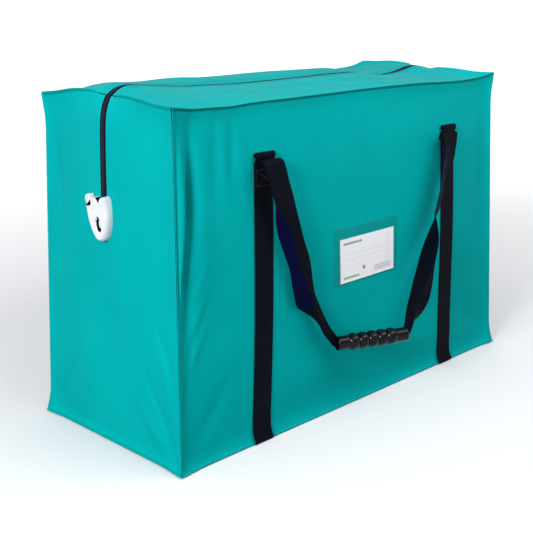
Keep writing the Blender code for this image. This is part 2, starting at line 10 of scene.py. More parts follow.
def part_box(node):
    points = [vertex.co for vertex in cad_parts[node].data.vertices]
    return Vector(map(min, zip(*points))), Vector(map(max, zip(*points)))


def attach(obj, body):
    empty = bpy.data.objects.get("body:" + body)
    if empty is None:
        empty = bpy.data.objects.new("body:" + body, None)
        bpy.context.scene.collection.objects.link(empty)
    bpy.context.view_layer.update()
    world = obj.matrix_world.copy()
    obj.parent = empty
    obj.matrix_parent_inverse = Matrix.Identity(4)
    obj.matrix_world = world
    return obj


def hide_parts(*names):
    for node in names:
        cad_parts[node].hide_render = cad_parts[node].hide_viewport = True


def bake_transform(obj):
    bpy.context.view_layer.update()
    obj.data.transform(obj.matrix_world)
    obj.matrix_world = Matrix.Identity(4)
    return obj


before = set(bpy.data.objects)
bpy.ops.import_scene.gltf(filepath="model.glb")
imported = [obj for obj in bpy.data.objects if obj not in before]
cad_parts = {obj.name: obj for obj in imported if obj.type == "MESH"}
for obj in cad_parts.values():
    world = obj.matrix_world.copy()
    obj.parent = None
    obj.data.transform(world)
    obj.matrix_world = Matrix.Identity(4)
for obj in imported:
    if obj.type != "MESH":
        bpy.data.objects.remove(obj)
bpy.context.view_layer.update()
ROOT = "bag_body"

# ---------------------------------------------------------------- sizes from the frame
FRONT_LOW, FRONT_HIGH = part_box("front_panel")
MIDDLE_X = (FRONT_LOW.x + FRONT_HIGH.x) / 2
HALF_WIDTH = (FRONT_HIGH.x - FRONT_LOW.x) / 2
HALF_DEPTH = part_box("back_panel")[1].y
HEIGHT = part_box("top_front_panel")[1].z
SLIT = -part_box("top_front_panel")[1].y
STRAP_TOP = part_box("left_body_strap")[1].z
LOCK_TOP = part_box("lock_housing")[1].z
ZIP_BOTTOM = {-1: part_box("zip_left_front_tape")[0].z, 1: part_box("zip_right_front_tape")[0].z}

# ---------------------------------------------------------------- cloth shape
CLOTH = 0.0008               # fabric thickness
TAPER = 0.0166               # how much narrower a half side is at the top
SEAM_OUT = 0.0047            # seams stand this far out at the base
SEAM_LOW = 0.0040            # height of the bottom seams
FLOOR_GAP = 0.0024           # lowest the fabric comes
SEAM_HIGH = HEIGHT - 0.0045  # height of the top seams
FIN = 0.0042                 # seam allowance that stands out, stitched
FLARE = 0.0032               # panels curve out towards a seam
FLARE_REACH = 0.020          # and start this far from it
EAR = 0.0050                 # corners stand out
EAR_REACH = 0.022
BULGE = 0.0085               # how far the middle of a wall stands out
RIPPLE, TOP_RIPPLE = 0.0012, 0.0010      # height of the slow waves on the walls and the top
ROUND = 0.0085               # how far the corners at the zip are drawn in
ROUND_REACH = 0.030
HEM_WIDTH = 0.0130           # fabric folded back along the zip
HEM_ROWS = (0.0045, 0.0105)  # stitch rows, as distances from the zip's opening
# Distances from the zip's opening at which the cloth has points.
HEM_PLACES = np.array([0, 0.0006, 0.0013, 0.0024, 0.0035, 0.0045, 0.0055, 0.0070, 0.0085, 0.0095, 0.0105,
                       0.0115, 0.0122, 0.0130, 0.0138, 0.0150])

# Height of the top's middle over its seams, along X from the bag's middle.
TOP_RIDGE = ((-0.390, 0.0165), (-0.370, 0.0205), (-0.348, 0.0255), (-0.327, 0.0262), (-0.305, 0.0245),
             (-0.285, 0.0230), (-0.261, 0.0213), (-0.234, 0.0188), (-0.195, 0.0180), (-0.115, 0.0156),
             (-0.019, 0.0150), (0.049, 0.0145), (0.115, 0.0155), (0.161, 0.0152), (0.205, 0.0100),
             (0.240, 0.0070), (0.265, 0.0078), (0.290, 0.0105), (0.329, 0.0160), (0.352, 0.0150),
             (0.390, 0.0120))
# How much fuller than that the rear half stands.
REAR_PUFF = ((-0.390, 0.0030), (-0.362, 0.0048), (-0.325, 0.0105), (-0.290, 0.0118), (-0.240, 0.0135),
             (0.100, 0.0130), (0.150, 0.0115), (0.200, 0.0075), (0.260, 0.0040), (0.310, 0.0050),
             (0.350, 0.0030), (0.390, 0.0020))
# Lift of the front (-1) and rear (1) long top seams, along X from the bag's middle.
SEAM_SAG = {-1: ((-0.390, 0.0022), (-0.345, 0.0008), (-0.306, -0.0003), (-0.272, -0.0014), (-0.232, 0.0002),
                 (-0.145, 0.0008), (-0.057, 0.0016), (0.009, 0.0022), (0.090, 0.0021), (0.165, 0.0013),
                 (0.234, -0.0015), (0.309, -0.0018), (0.354, 0.0006), (0.390, 0.0034)),
            1: ((-0.390, 0.0030), (-0.350, 0.0020), (-0.300, 0.0006), (0.200, 0.0010), (0.285, 0.0025),
                (0.330, 0.0050), (0.360, 0.0085), (0.390, 0.0130))}
# Folds as (across, up, length, width, angle in degrees, height), from a wall's middle and the floor.
FRONT_FOLDS = ((-0.3450, 0.405, 0.072, 0.0068, 88, -0.0215), (-0.3585, 0.300, 0.075, 0.0064, 82, -0.0250),
               (-0.3640, 0.405, 0.080, 0.0080, 88, 0.0170), (-0.3735, 0.285, 0.080, 0.0062, 84, 0.0150),
               (-0.3225, 0.385, 0.120, 0.014, 87, 0.0022),
               (-0.3655, 0.212, 0.050, 0.0060, 77, -0.0090), (-0.3440, 0.225, 0.040, 0.0050, 62, 0.0036),
               (-0.3400, 0.262, 0.035, 0.0045, 64, 0.0030),
               (-0.3500, 0.175, 0.040, 0.0050, 58, 0.0030), (-0.3640, 0.160, 0.060, 0.0060, 82, -0.0050),
               (-0.300, 0.445, 0.060, 0.009, 86, -0.0030), (-0.283, 0.440, 0.065, 0.008, 93, 0.0022),
               (-0.268, 0.452, 0.050, 0.008, 84, -0.0028), (-0.250, 0.430, 0.060, 0.008, 95, 0.0018),
               (0.355, 0.300, 0.140, 0.012, 91, -0.0040), (0.120, 0.470, 0.120, 0.020, 4, -0.0018),
               (-0.080, 0.040, 0.140, 0.020, 2, -0.0020), (0.160, 0.060, 0.120, 0.022, -6, 0.0016),
               (-0.330, 0.070, 0.060, 0.012, 50, -0.0024), (0.335, 0.060, 0.060, 0.014, 132, -0.0026))
END_FOLDS = ((-0.118, 0.075, 0.060, 0.006, 62, -0.0060), (-0.134, 0.120, 0.055, 0.006, 74, 0.0036),
             (-0.100, 0.050, 0.055, 0.006, 48, 0.0040), (-0.128, 0.170, 0.045, 0.005, 64, -0.0040),
             (-0.136, 0.215, 0.040, 0.005, 70, 0.0026), (0.120, 0.060, 0.060, 0.009, 125, -0.0030),
             (0.126, 0.420, 0.070, 0.008, 80, -0.0030), (-0.118, 0.445, 0.060, 0.010, 128, -0.0032),
             (-0.095, 0.425, 0.065, 0.012, 124, 0.0022), (-0.132, 0.300, 0.100, 0.008, 92, -0.0028),
             (-0.060, 0.300, 0.060, 0.010, 96, -0.0022), (0.000, 0.200, 0.110, 0.030, 90, -0.0022),
             (0.050, 0.120, 0.080, 0.014, 112, 0.0020), (0.118, 0.330, 0.120, 0.008, 88, -0.0030))
TOP_FOLDS = ((-0.340, -0.105, 0.040, 0.007, 62, 0.0030), (-0.322, -0.095, 0.040, 0.007, 62, -0.0022),
             (-0.255, -0.070, 0.070, 0.008, 24, -0.0022), (-0.200, -0.060, 0.070, 0.010, 18, 0.0026),
             (-0.080, -0.075, 0.090, 0.009, 8, -0.0022), (0.020, -0.050, 0.100, 0.010, 4, 0.0022),
             (0.100, -0.080, 0.100, 0.012, -8, -0.0024), (0.230, -0.045, 0.050, 0.016, 20, 0.0046),
             (0.270, -0.090, 0.050, 0.009, 40, -0.0024), (0.310, -0.080, 0.050, 0.009, -50, -0.0026))


def fold_height(folds, across, up):
    """Height of a set of folds, each fading along its length and across its width."""
    total = np.zeros(np.broadcast(across, up).shape)
    for x, z, length, width, angle, height in folds:
        cos, sin = math.cos(math.radians(angle)), math.sin(math.radians(angle))
        along = (across - x) * cos + (up - z) * sin
        beside = (up - z) * cos - (across - x) * sin
        total += height * np.exp(-(along / length) ** 2 - (beside / width) ** 2)
    return total


def taper(size, z):
    """Half the distance between two facing walls at height z."""
    return size + SEAM_OUT - TAPER * z / HEIGHT


def smooth_line(points, x):
    """A smooth curve through (x, value) points, read at x."""
    xs, values = np.array(points, float).T
    slopes = np.gradient(values, xs)
    k = np.clip(np.searchsorted(xs, x) - 1, 0, len(xs) - 2)
    h = xs[k + 1] - xs[k]
    t = np.clip((x - xs[k]) / h, 0, 1)
    return ((2 * t**3 - 3 * t**2 + 1) * values[k] + (t**3 - 2 * t**2 + t) * h * slopes[k]
            + (3 * t**2 - 2 * t**3) * values[k + 1] + (t**3 - t**2) * h * slopes[k + 1])


def ease(t):
    t = np.clip(t, 0, 1)
    return t * t * (3 - 2 * t)


def ripple(a, b, seed):
    """Slow, shallow waves that keep a stretched panel from being flat."""
    return (np.sin(9.1 * a + 5.3 * b + seed) + np.sin(-13.7 * a + 8.9 * b + 2.1 * seed)
            + np.sin(21.0 * a - 17.0 * b + 0.7 * seed)) / 3


def pillow(a, b, power=0.75):
    """1 in the middle of a panel and 0 on its edges, for a and b from -1 to 1."""
    return (np.clip(1 - a * a, 0, 1) * np.clip(1 - b * b, 0, 1)) ** power


def level(z):
    """-1 at the bottom seams and 1 at the top seams."""
    return np.clip(2 * (z - SEAM_LOW) / (SEAM_HIGH - SEAM_LOW) - 1, -1, 1)


def front_bulge(x, z):
    inside = pillow(np.clip(x / taper(HALF_WIDTH, z), -1, 1), level(z))
    uneven = fold_height(FRONT_FOLDS, x, z) + RIPPLE * ripple(x * 1.4, z * 1.4, 1.0)
    return BULGE * inside + uneven * inside**0.4


def end_swell(y, z):
    """The end stands out along its zip, up to the top seam."""
    return 0.004 * np.exp(-(y / 0.045) ** 2) * ease((z - 0.30) / 0.18)


def corner_round(y):
    """Near the zip, ends and top meet in a rounded corner."""
    return ROUND * np.exp(-(y / 0.055) ** 2)


def end_bulge(y, z):
    inside = pillow(np.clip(y / taper(HALF_DEPTH, z), -1, 1), level(z))
    turned = corner_round(y) * np.clip((z - SEAM_HIGH) / ROUND_REACH + 1, 0, 1) ** 2
    uneven = fold_height(END_FOLDS, y, z) + RIPPLE * ripple(y * 2, z * 1.5, 4.0)
    return BULGE * inside + end_swell(y, z) - turned + uneven * inside**0.4


def hem(distance):
    """Lift of the folded edge along the zip, pressed down by two stitch rows."""
    return (0.0009 * ease((HEM_WIDTH + 0.001 - distance) / 0.002)
            - sum(0.0006 * np.exp(-((distance - row) / 0.0012) ** 2) for row in HEM_ROWS)
            - 0.0012 * np.exp(-(distance / 0.0009) ** 2))


def top_profile(y, fullness=0.0):
    """Rise of the top from a long seam (0) to the zip (1), straight or, for fullness 1, puffed up."""
    half = taper(HALF_DEPTH, SEAM_HIGH)
    v = np.clip((half - np.abs(y)) / (half - SLIT), 0, 1)
    return v + fullness * (np.sin(math.pi / 2 * v) ** 0.85 - v)


def top_reach(y):
    """Half length of the top at y, where it meets the ends."""
    return taper(HALF_WIDTH, SEAM_HIGH) + end_swell(y, SEAM_HIGH) - corner_round(y)


def rear_puff(x, y):
    return smooth_line(REAR_PUFF, x) * np.sin(math.pi * top_profile(y)) ** 0.8 * (y > 0)


def end_rise(y, side):
    x = side * top_reach(y)
    return smooth_line(TOP_RIDGE, x) * top_profile(y) + rear_puff(x, y) - corner_round(y)


def top_height(x, y):
    """Height of the top's cloth, puffed up, rounded down to the ends and folded."""
    from_end = top_reach(y) - np.abs(x)
    rise = smooth_line(TOP_RIDGE, x) * top_profile(y, 0.6 * (y < 0) * ease(from_end / 0.09)) + rear_puff(x, y)
    inside = pillow(np.clip(x / top_reach(y), -1, 1), np.clip(y / taper(HALF_DEPTH, SEAM_HIGH), -1, 1), 0.5)
    rise = rise - corner_round(y) * np.clip(1 - from_end / ROUND_REACH, 0, 1) ** 2
    uneven = fold_height(TOP_FOLDS, x, -np.abs(y)) + TOP_RIPPLE * ripple(x * 1.6, y * 2, 7.0)
    return SEAM_HIGH + rise + uneven * inside


def sagged(points):
    """The long top seams sag between raised corners, and what lies below follows."""
    front, rear = (smooth_line(SEAM_SAG[side], points[..., 0] - MIDDLE_X) for side in (-1, 1))
    share = ease(points[..., 1] / (2 * HALF_DEPTH) + 0.5)
    drop = front + (rear - front) * share
    points[..., 2] += drop * np.clip(points[..., 2] / HEIGHT, 0, 1) ** 5
    return points


def on_front(x, z, side=-1, lift=0.0):
    """A place on the front (side -1) or the back, lift metres outside the cloth."""
    out = taper(HALF_DEPTH, z) + front_bulge(x, z) + lift
    return sagged(np.stack([MIDDLE_X + x, side * out, z + 0 * x], axis=-1))


def on_end(y, z, side=-1, lift=0.0):
    out = taper(HALF_WIDTH, z) + end_bulge(y, z) + lift
    return sagged(np.stack([MIDDLE_X + side * out, y + 0 * z, z + 0 * y], axis=-1))


def on_top(x, y, lift=0.0):
    return sagged(np.stack([MIDDLE_X + x + 0 * y, y + 0 * x, top_height(x, y) + lift], axis=-1))


# ---------------------------------------------------------------- materials
class Paint:
    """A small builder for node materials."""

    def __init__(self, name):
        self.material = bpy.data.materials.new(name)
        self.material.use_nodes = True
        self.tree = self.material.node_tree
        self.shader = self.tree.nodes["Principled BSDF"]
        coordinates = self.add("ShaderNodeTexCoord")
        self.place = coordinates.outputs["Object"]
        self.cloth = coordinates.outputs["UV"]

    def add(self, kind, **settings):
        node = self.tree.nodes.new(kind)
        for key, value in settings.items():
            if key in node.bl_rna.properties:
                setattr(node, key, value)
            else:
                node.inputs[key.replace("_", " ")].default_value = value
        return node

    def link(self, source, target):
        self.tree.links.new(source, target)

    def set(self, **values):
        for key, value in values.items():
            self.shader.inputs[key.replace("_", " ")].default_value = value
        return self

    def noise(self, scale, detail=2.0, rough=0.5, on=None):
        node = self.add("ShaderNodeTexNoise", Scale=scale, Detail=detail, Roughness=rough)
        self.link(on or self.place, node.inputs["Vector"])
        return node.outputs["Fac"]

    def wave(self, scale, direction, distortion=0.0, on=None):
        node = self.add("ShaderNodeTexWave", bands_direction=direction, Scale=scale, Distortion=distortion)
        self.link(on or self.cloth, node.inputs["Vector"])
        return node.outputs["Fac"]

    def math(self, operation, a, b):
        node = self.add("ShaderNodeMath", operation=operation)
        for socket, value in zip(node.inputs, (a, b)):
            if isinstance(value, (int, float)):
                socket.default_value = value
            else:
                self.link(value, socket)
        return node.outputs[0]

    def spread(self, value, low, high, to_low=0.0, to_high=1.0):
        node = self.add("ShaderNodeMapRange")
        for socket, number in zip(list(node.inputs)[1:5], (low, high, to_low, to_high)):
            socket.default_value = number
        self.link(value, node.inputs[0])
        return node.outputs[0]

    def mix(self, share, a, b):
        node = self.add("ShaderNodeMix", data_type="RGBA")
        for socket, value in ((node.inputs[0], share), (node.inputs[6], a), (node.inputs[7], b)):
            if isinstance(value, tuple):
                socket.default_value = (*value, 1)
            elif isinstance(value, (int, float)):
                socket.default_value = value
            else:
                self.link(value, socket)
        return node.outputs[2]

    def colour(self, value):
        self.link(value, self.shader.inputs["Base Color"])
        return self

    def rough(self, value):
        self.link(value, self.shader.inputs["Roughness"])
        return self

    def bump(self, *layers):
        """Layers of (height, strength, distance), from the coarse one to the fine one."""
        normal = None
        for height, strength, distance in layers:
            node = self.add("ShaderNodeBump", Strength=strength, Distance=distance)
            self.link(height, node.inputs["Height"])
            if normal is not None:
                self.link(normal, node.inputs["Normal"])
            normal = node.outputs["Normal"]
        self.link(normal, self.shader.inputs["Normal"])
        return self

    def attribute(self, name):
        return self.add("ShaderNodeAttribute", attribute_name=name).outputs["Fac"]


def rgb(*screen):
    """A colour from its red, green and blue on a screen, from 0 to 255."""
    shares = [value / 255 for value in screen]
    return tuple(v / 12.92 if v <= 0.04045 else ((v + 0.055) / 1.055) ** 2.4 for v in shares)


def bands(spacing):
    """Wave texture scale for bands this far apart."""
    return math.pi / 10 / spacing


def make_fabric(name, base, dark, light):
    """Coated woven fabric: fine weave under a satin film, scuffed along its seams."""
    paint = Paint(name)
    patches = paint.spread(paint.noise(7.0, 3.0), 0.3, 0.7)
    colour = paint.mix(patches, dark, base)
    flecks = paint.spread(paint.noise(900.0, 1.0), 0.35, 0.75)
    colour = paint.mix(paint.math("MULTIPLY", flecks, 0.10), colour, light)
    wear = paint.math("MULTIPLY", paint.attribute("seam"), paint.spread(paint.noise(60.0, 3.0), 0.25, 0.8))
    colour = paint.mix(paint.math("MULTIPLY", wear, 0.30), colour, light)
    dirt = paint.math("MULTIPLY", paint.spread(paint.noise(24.0, 4.0), 0.62, 0.85), 0.10)
    colour = paint.mix(dirt, colour, dark)
    paint.colour(colour).rough(paint.spread(paint.noise(40.0, 3.0), 0.2, 0.8, 0.42, 0.56))
    weave = paint.math("MULTIPLY", paint.wave(bands(0.0009), "X"), paint.wave(bands(0.0009), "Y"))
    paint.bump((paint.noise(38.0, 2.0), 0.20, 0.0012), (weave, 0.18, 0.00012))
    paint.set(Specular_IOR_Level=0.014, Sheen_Weight=0.012, Sheen_Roughness=0.3)
    return paint.material


def make_webbing(name, base, light):
    """Woven polyamide webbing: ribs along and across, with paler raised threads."""
    paint = Paint(name)
    ribs = paint.wave(bands(0.0028), "Y")
    threads = paint.wave(bands(0.0016), "DIAGONAL")
    cross = paint.wave(bands(0.0016), "X")
    height = paint.math("ADD", paint.math("MULTIPLY", ribs, 0.6), paint.math("MULTIPLY", threads, cross))
    colour = paint.mix(paint.spread(height, 0.2, 1.5), base, light)
    lint = paint.math("MULTIPLY", paint.spread(paint.noise(420.0, 2.0), 0.60, 0.80), 0.25)
    colour = paint.mix(lint, colour, light)
    paint.colour(colour).rough(paint.spread(paint.noise(120.0, 2.0), 0.2, 0.8, 0.50, 0.70))
    paint.bump((paint.noise(90.0, 2.0), 0.15, 0.0006), (height, 0.55, 0.00035))
    paint.set(Specular_IOR_Level=0.04)
    return paint.material


def make_zip_tape():
    paint = Paint("zip_tape_woven")
    rows = paint.math("MULTIPLY", paint.wave(bands(0.0007), "X"), paint.wave(bands(0.0010), "Y"))
    colour = paint.mix(rows, rgb(6, 7, 26), rgb(18, 20, 58))
    paint.colour(colour).rough(paint.spread(paint.noise(200.0, 2.0), 0.2, 0.8, 0.6, 0.8))
    paint.bump((rows, 0.5, 0.0002))
    paint.set(Specular_IOR_Level=0.12)
    return paint.material


def make_plastic(name, base, dark, rough, grain=0.06, coat=0.0, scratch=0.15, shine=0.4):
    """Moulded plastic: faint flow marks, fine grain and small scuffs."""
    paint = Paint(name)
    flow = paint.spread(paint.noise(55.0, 3.0), 0.3, 0.75)
    colour = paint.mix(paint.math("MULTIPLY", flow, 0.6), base, dark)
    scuffs = paint.spread(paint.noise(260.0, 4.0, 0.7), 0.62, 0.78)
    colour = paint.mix(paint.math("MULTIPLY", scuffs, scratch), colour, dark)
    paint.colour(colour).rough(paint.spread(paint.noise(180.0, 3.0), 0.2, 0.8, rough - 0.07, rough + 0.07))
    paint.bump((paint.noise(1400.0, 1.0), grain, 0.0001))
    paint.set(Coat_Weight=coat, Coat_Roughness=0.12, Specular_IOR_Level=shine)
    return paint.material


def make_steel():
    paint = Paint("rivet_steel_brushed")
    lines = paint.noise(900.0, 3.0)
    colour = paint.mix(paint.spread(lines, 0.3, 0.7), rgb(150, 152, 156), rgb(200, 202, 205))
    paint.colour(colour).rough(paint.spread(lines, 0.2, 0.8, 0.22, 0.38))
    paint.bump((lines, 0.08, 0.0001))
    paint.set(Metallic=1.0)
    return paint.material


def make_film():
    paint = Paint("clear_film")
    haze = paint.noise(70.0, 3.0)
    colour = paint.mix(paint.spread(haze, 0.3, 0.7), rgb(2, 60, 66), rgb(8, 70, 76))
    paint.colour(colour).rough(paint.spread(haze, 0.2, 0.8, 0.10, 0.22))
    paint.bump((paint.noise(26.0, 2.0), 0.10, 0.0015))
    paint.set(Alpha=0.07, Specular_IOR_Level=0.25)
    return paint.material


def make_card():
    paint = Paint("card_stock_coated")
    fibres = paint.noise(600.0, 3.0)
    colour = paint.mix(paint.spread(fibres, 0.3, 0.7), rgb(244, 244, 252), rgb(251, 251, 255))
    paint.colour(colour).rough(paint.spread(fibres, 0.2, 0.8, 0.50, 0.62))
    paint.bump((fibres, 0.06, 0.0001))
    return paint.material


def make_ink(name, colour, faded):
    paint = Paint(name)
    paint.colour(paint.mix(paint.spread(paint.noise(700.0, 2.0), 0.4, 0.8), colour, faded))
    paint.rough(paint.spread(paint.noise(300.0, 2.0), 0.2, 0.8, 0.5, 0.7))
    return paint.material


def make_thread(name, base, dark):
    paint = Paint(name)
    twist = paint.wave(bands(0.0006), "DIAGONAL", 1.0, paint.place)
    paint.colour(paint.mix(twist, dark, base)).rough(paint.spread(twist, 0.0, 1.0, 0.45, 0.65))
    paint.bump((twist, 0.4, 0.0001))
    return paint.material


FABRIC = make_fabric("coated_fabric_teal", rgb(0, 151, 152), rgb(0, 143, 145), rgb(4, 163, 163))
WEBBING = make_webbing("webbing_black", rgb(2, 4, 12), rgb(12, 14, 27))
# Navy copy of the black webbing: painted shade on the handle's creased wing.
WEBBING_PAINTED_SHADE = make_webbing("webbing_navy_painted_shade", rgb(0, 2, 30), rgb(2, 8, 58))
ZIP_TAPE = make_zip_tape()
ZIP_TEETH = make_plastic("zip_teeth_black", rgb(14, 14, 30), rgb(6, 6, 16), 0.42, 0.10, shine=0.18)
LOCK_WHITE = make_plastic("lock_plastic_white", rgb(202, 204, 210), rgb(190, 193, 200), 0.38, 0.05, 0.10)
# Dark plastic for the lock's channel: painted shade where the white plastic lies in shadow.
LOCK_PAINTED_SHADE = make_plastic("lock_hollow_painted_shade", rgb(16, 16, 20), rgb(8, 8, 10), 0.6)
RUBBER = make_plastic("grip_rubber_black", rgb(3, 3, 12), rgb(1, 1, 6), 0.20, 0.04, 0.15, shine=0.12)
STEEL = make_steel()
FILM = make_film()
CARD = make_card()
INK_DARK = make_ink("ink_slate", rgb(96, 98, 124), rgb(170, 172, 192))
INK_GREEN = make_ink("ink_green", rgb(132, 186, 132), rgb(178, 212, 178))
INK_FAINT = make_ink("ink_faint", rgb(196, 198, 212), rgb(214, 215, 226))
INK_OCHRE = make_ink("ink_ochre", rgb(150, 132, 88), rgb(190, 176, 140))
# Teal thread, darker than the fabric: its own tone plus painted shade of the stitch gutters.
THREAD_TEAL_WITH_PAINTED_SHADE = make_thread("thread_teal_with_painted_shade", rgb(0, 72, 76), rgb(0, 50, 54))
THREAD_BLACK = make_thread("thread_black", rgb(30, 32, 46), rgb(12, 13, 24))


# ---------------------------------------------------------------- mesh tools
def unit(rows):
    return rows / np.linalg.norm(rows, axis=1)[:, None]


def headings(points):
    """Unit directions along a line of points."""
    return unit(np.gradient(points, axis=0))


def new_mesh(name, points, faces):
    mesh = bpy.data.meshes.new(name)
    mesh.from_pydata(np.asarray(points).tolist(), [], faces)
    return mesh


def set_uv(mesh, uv):
    """One UV for each vertex."""
    loops = np.empty(len(mesh.loops), int)
    mesh.loops.foreach_get("vertex_index", loops)
    mesh.uv_layers.new(name="cloth").data.foreach_set("uv", uv[loops].astype(np.float32).reshape(-1))


def swept_faces(count, sides):
    """Faces between count rings of points, with both ends closed."""
    index = np.arange(count * sides).reshape(count, sides)
    turned = np.roll(index, -1, axis=1)
    faces = np.stack([index[:-1], turned[:-1], turned[1:], index[1:]], axis=-1).reshape(-1, 4).tolist()
    return faces + [index[0, ::-1].tolist(), index[-1].tolist()]


def add_piece(name, mesh, material, smooth=True):
    """Put a mesh in the scene as a piece of one material."""
    piece = bpy.data.objects.new(name, mesh)
    bpy.context.scene.collection.objects.link(piece)
    mesh.materials.append(material)
    if smooth:
        mesh.shade_smooth()
    return piece


def grid_mesh(name, points, uv, keep=None, wear=None):
    """A mesh of quads over a (rows, columns, 3) array; keep says which quads stay."""
    rows, columns = points.shape[:2]
    index = np.arange(rows * columns).reshape(rows, columns)
    quads = np.stack([index[:-1, :-1], index[:-1, 1:], index[1:, 1:], index[1:, :-1]], axis=-1).reshape(-1, 4)
    if keep is not None:
        quads = quads[keep.reshape(-1)]
    used = np.unique(quads)
    new_index = np.full(rows * columns, -1)
    new_index[used] = np.arange(len(used))
    quads = new_index[quads]
    mesh = new_mesh(name, points.reshape(-1, 3)[used], quads.tolist())
    set_uv(mesh, uv.reshape(-1, 2)[used])
    if wear is not None:
        layer = mesh.attributes.new("seam", "FLOAT", "POINT")
        layer.data.foreach_set("value", wear.reshape(-1)[used].astype(np.float32))
    mesh.update()
    return mesh


def settle(piece):
    """Make the modifiers' result the piece's own mesh."""
    graph = bpy.context.evaluated_depsgraph_get()
    graph.update()
    mesh = bpy.data.meshes.new_from_object(piece.evaluated_get(graph))
    old = piece.data
    piece.modifiers.clear()
    piece.data = mesh
    bpy.data.meshes.remove(old)
    return piece


SHARP = math.radians(50)


def thicken(piece, thickness):
    """Give an open surface thickness, on the side away from its normals."""
    solid = piece.modifiers.new("thickness", "SOLIDIFY")
    solid.thickness = thickness
    solid.offset = -1
    settle(piece)
    face_out(piece.data)
    piece.data.set_sharp_from_angle(angle=SHARP)
    return piece


def face_out(mesh):
    shape = bmesh.new()
    shape.from_mesh(mesh)
    bmesh.ops.recalc_face_normals(shape, faces=shape.faces)
    shape.to_mesh(mesh)
    shape.free()


def face_up(mesh):
    """Turn an open surface so that its normals point up on the whole."""
    if sum(face.normal.z * face.area for face in mesh.polygons) < 0:
        mesh.flip_normals()


def seam_wear(a, b, size):
    """1 on a panel's seams, falling to 0 a little way in."""
    nearest = np.min([a, size[0] - a, b, size[1] - b], axis=0)
    return np.exp(-np.maximum(nearest, 0) / 0.004)


def weld(mesh, distance=2e-5):
    shape = bmesh.new()
    shape.from_mesh(mesh)
    bmesh.ops.remove_doubles(shape, verts=shape.verts, dist=distance)
    bmesh.ops.dissolve_degenerate(shape, edges=shape.edges, dist=distance)
    shape.to_mesh(mesh)
    shape.free()


def spaced(length, fine=0.0022, coarse=0.011, growth=1.3, exactly=()):
    """Places from 0 to length, closer together at both ends, with some places exactly."""
    steps, at = [0.0], 0.0
    step = fine
    while at + step < length / 2 - coarse / 2:
        at += step
        steps.append(at)
        step = min(step * growth, coarse)
    places = np.array(steps + [length - s for s in reversed(steps)])
    for value in exactly:
        places[np.argmin(np.abs(places - value))] = value
    return places


# ---------------------------------------------------------------- panels
def seam_strength(distance):
    return np.clip(1 - distance / FLARE_REACH, 0, 1) ** 2


NO_SEAM = {"direction": np.array([1.0, 0.0, 0.0])}


def panel_points(place, size, outwards, seams, across, up):
    """Points of a panel with its flared edges and stitched fins.

    place(a, b) gives the panel without its seams, for a and b inside size. seams holds, for each of
    the four edges, its outward direction and how wide its fin is at (a, b), or None for a free edge.
    """
    a_grid, b_grid = (across, up) if across.ndim == 2 else np.meshgrid(across, up)
    a = np.clip(a_grid, 0, size[0])
    b = np.clip(b_grid, 0, size[1])
    points = place(a, b)
    inside = (a, size[0] - a, b, size[1] - b)
    beyond = (-np.minimum(a_grid, 0), np.maximum(a_grid - size[0], 0), -np.minimum(b_grid, 0),
              np.maximum(b_grid - size[1], 0))
    outwards = np.array(outwards, float)
    directions, pushes, besides = [], [], []
    for item, distance, over in zip(seams, inside, beyond):
        sewn = item is not None
        item = item or NO_SEAM
        direction = item["direction"] / np.linalg.norm(item["direction"])
        beside = outwards - direction * (outwards @ direction)
        besides.append(beside / max(np.linalg.norm(beside), 1e-9) * sewn)
        directions.append(direction * sewn)
        strength = seam_strength(distance)
        width = item["width"](points) if "width" in item else 1.0
        pushes.append([(FLARE * strength + over) * width * sewn, strength])
    for k, l in ((0, 2), (1, 2), (0, 3), (1, 3)):
        if seams[k] is None or seams[l] is None:
            continue
        both = np.minimum(pushes[k][0], pushes[l][0])
        corner = np.sign(np.round(directions[k] + directions[l], 3))
        if corner[2] < 0:
            corner = corner * (1, 1, 0.2)
        corner = corner / np.linalg.norm(corner)
        near = EAR * np.exp(-(inside[k] ** 2 + inside[l] ** 2) / EAR_REACH**2)
        points = points + (both * math.sqrt(2) + near)[..., None] * corner
        pushes[k][0], pushes[l][0] = pushes[k][0] - both, pushes[l][0] - both
    for direction, beside, (push, strength) in zip(directions, besides, pushes):
        points = points + push[..., None] * direction + (CLOTH * strength)[..., None] * beside
    points[..., 2] = np.maximum(points[..., 2], FLOOR_GAP)
    return points


def with_fins(places, low=True, high=True):
    """Places across a panel, with more on the fins beyond its seams."""
    fin = FIN * np.array([1, 0.72, 0.62, 0.52, 0.25])
    parts = [-fin] if low else []
    parts.append(places)
    if high:
        parts.append(places[-1] + fin[::-1])
    return np.concatenate(parts)


def seam(*direction, **width):
    return {"direction": np.array(direction, float), **width}


def near_slit(points):
    """Fins narrow to nothing where the zip crosses their seam."""
    return 0.06 + 0.94 * ease((np.abs(points[..., 1]) - 0.012) / 0.022)


PANELS = {}


def panel_line(name, a, b):
    """Points and outward normals along a line on a panel, given in the panel's own a and b."""
    place, size, outwards, seams = PANELS[name]
    step = 0.0004

    def read(a, b):
        return panel_points(place, size, outwards, seams, np.atleast_2d(a), np.atleast_2d(b))[0]

    normals = unit(np.cross(read(a + step, b) - read(a - step, b), read(a, b + step) - read(a, b - step)))
    normals *= np.sign(normals @ np.array(outwards, float))[:, None]
    return read(a, b), normals


def build_panel(name, node, place, size, outwards, seams, across, up, keep=None, flip=False):
    PANELS[name] = place, size, outwards, seams
    points = panel_points(place, size, outwards, seams, across, up)
    a_grid, b_grid = np.meshgrid(across, up)
    kept = None if keep is None else keep(a_grid, b_grid)
    mesh = grid_mesh(name, points, np.stack([a_grid, b_grid], axis=-1), kept, seam_wear(a_grid, b_grid, size))
    if flip:
        mesh.flip_normals()
    piece = add_piece(name, mesh, FABRIC)
    thicken(piece, CLOTH)
    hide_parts(node)
    return piece


WALL_HEIGHT = SEAM_HIGH - SEAM_LOW


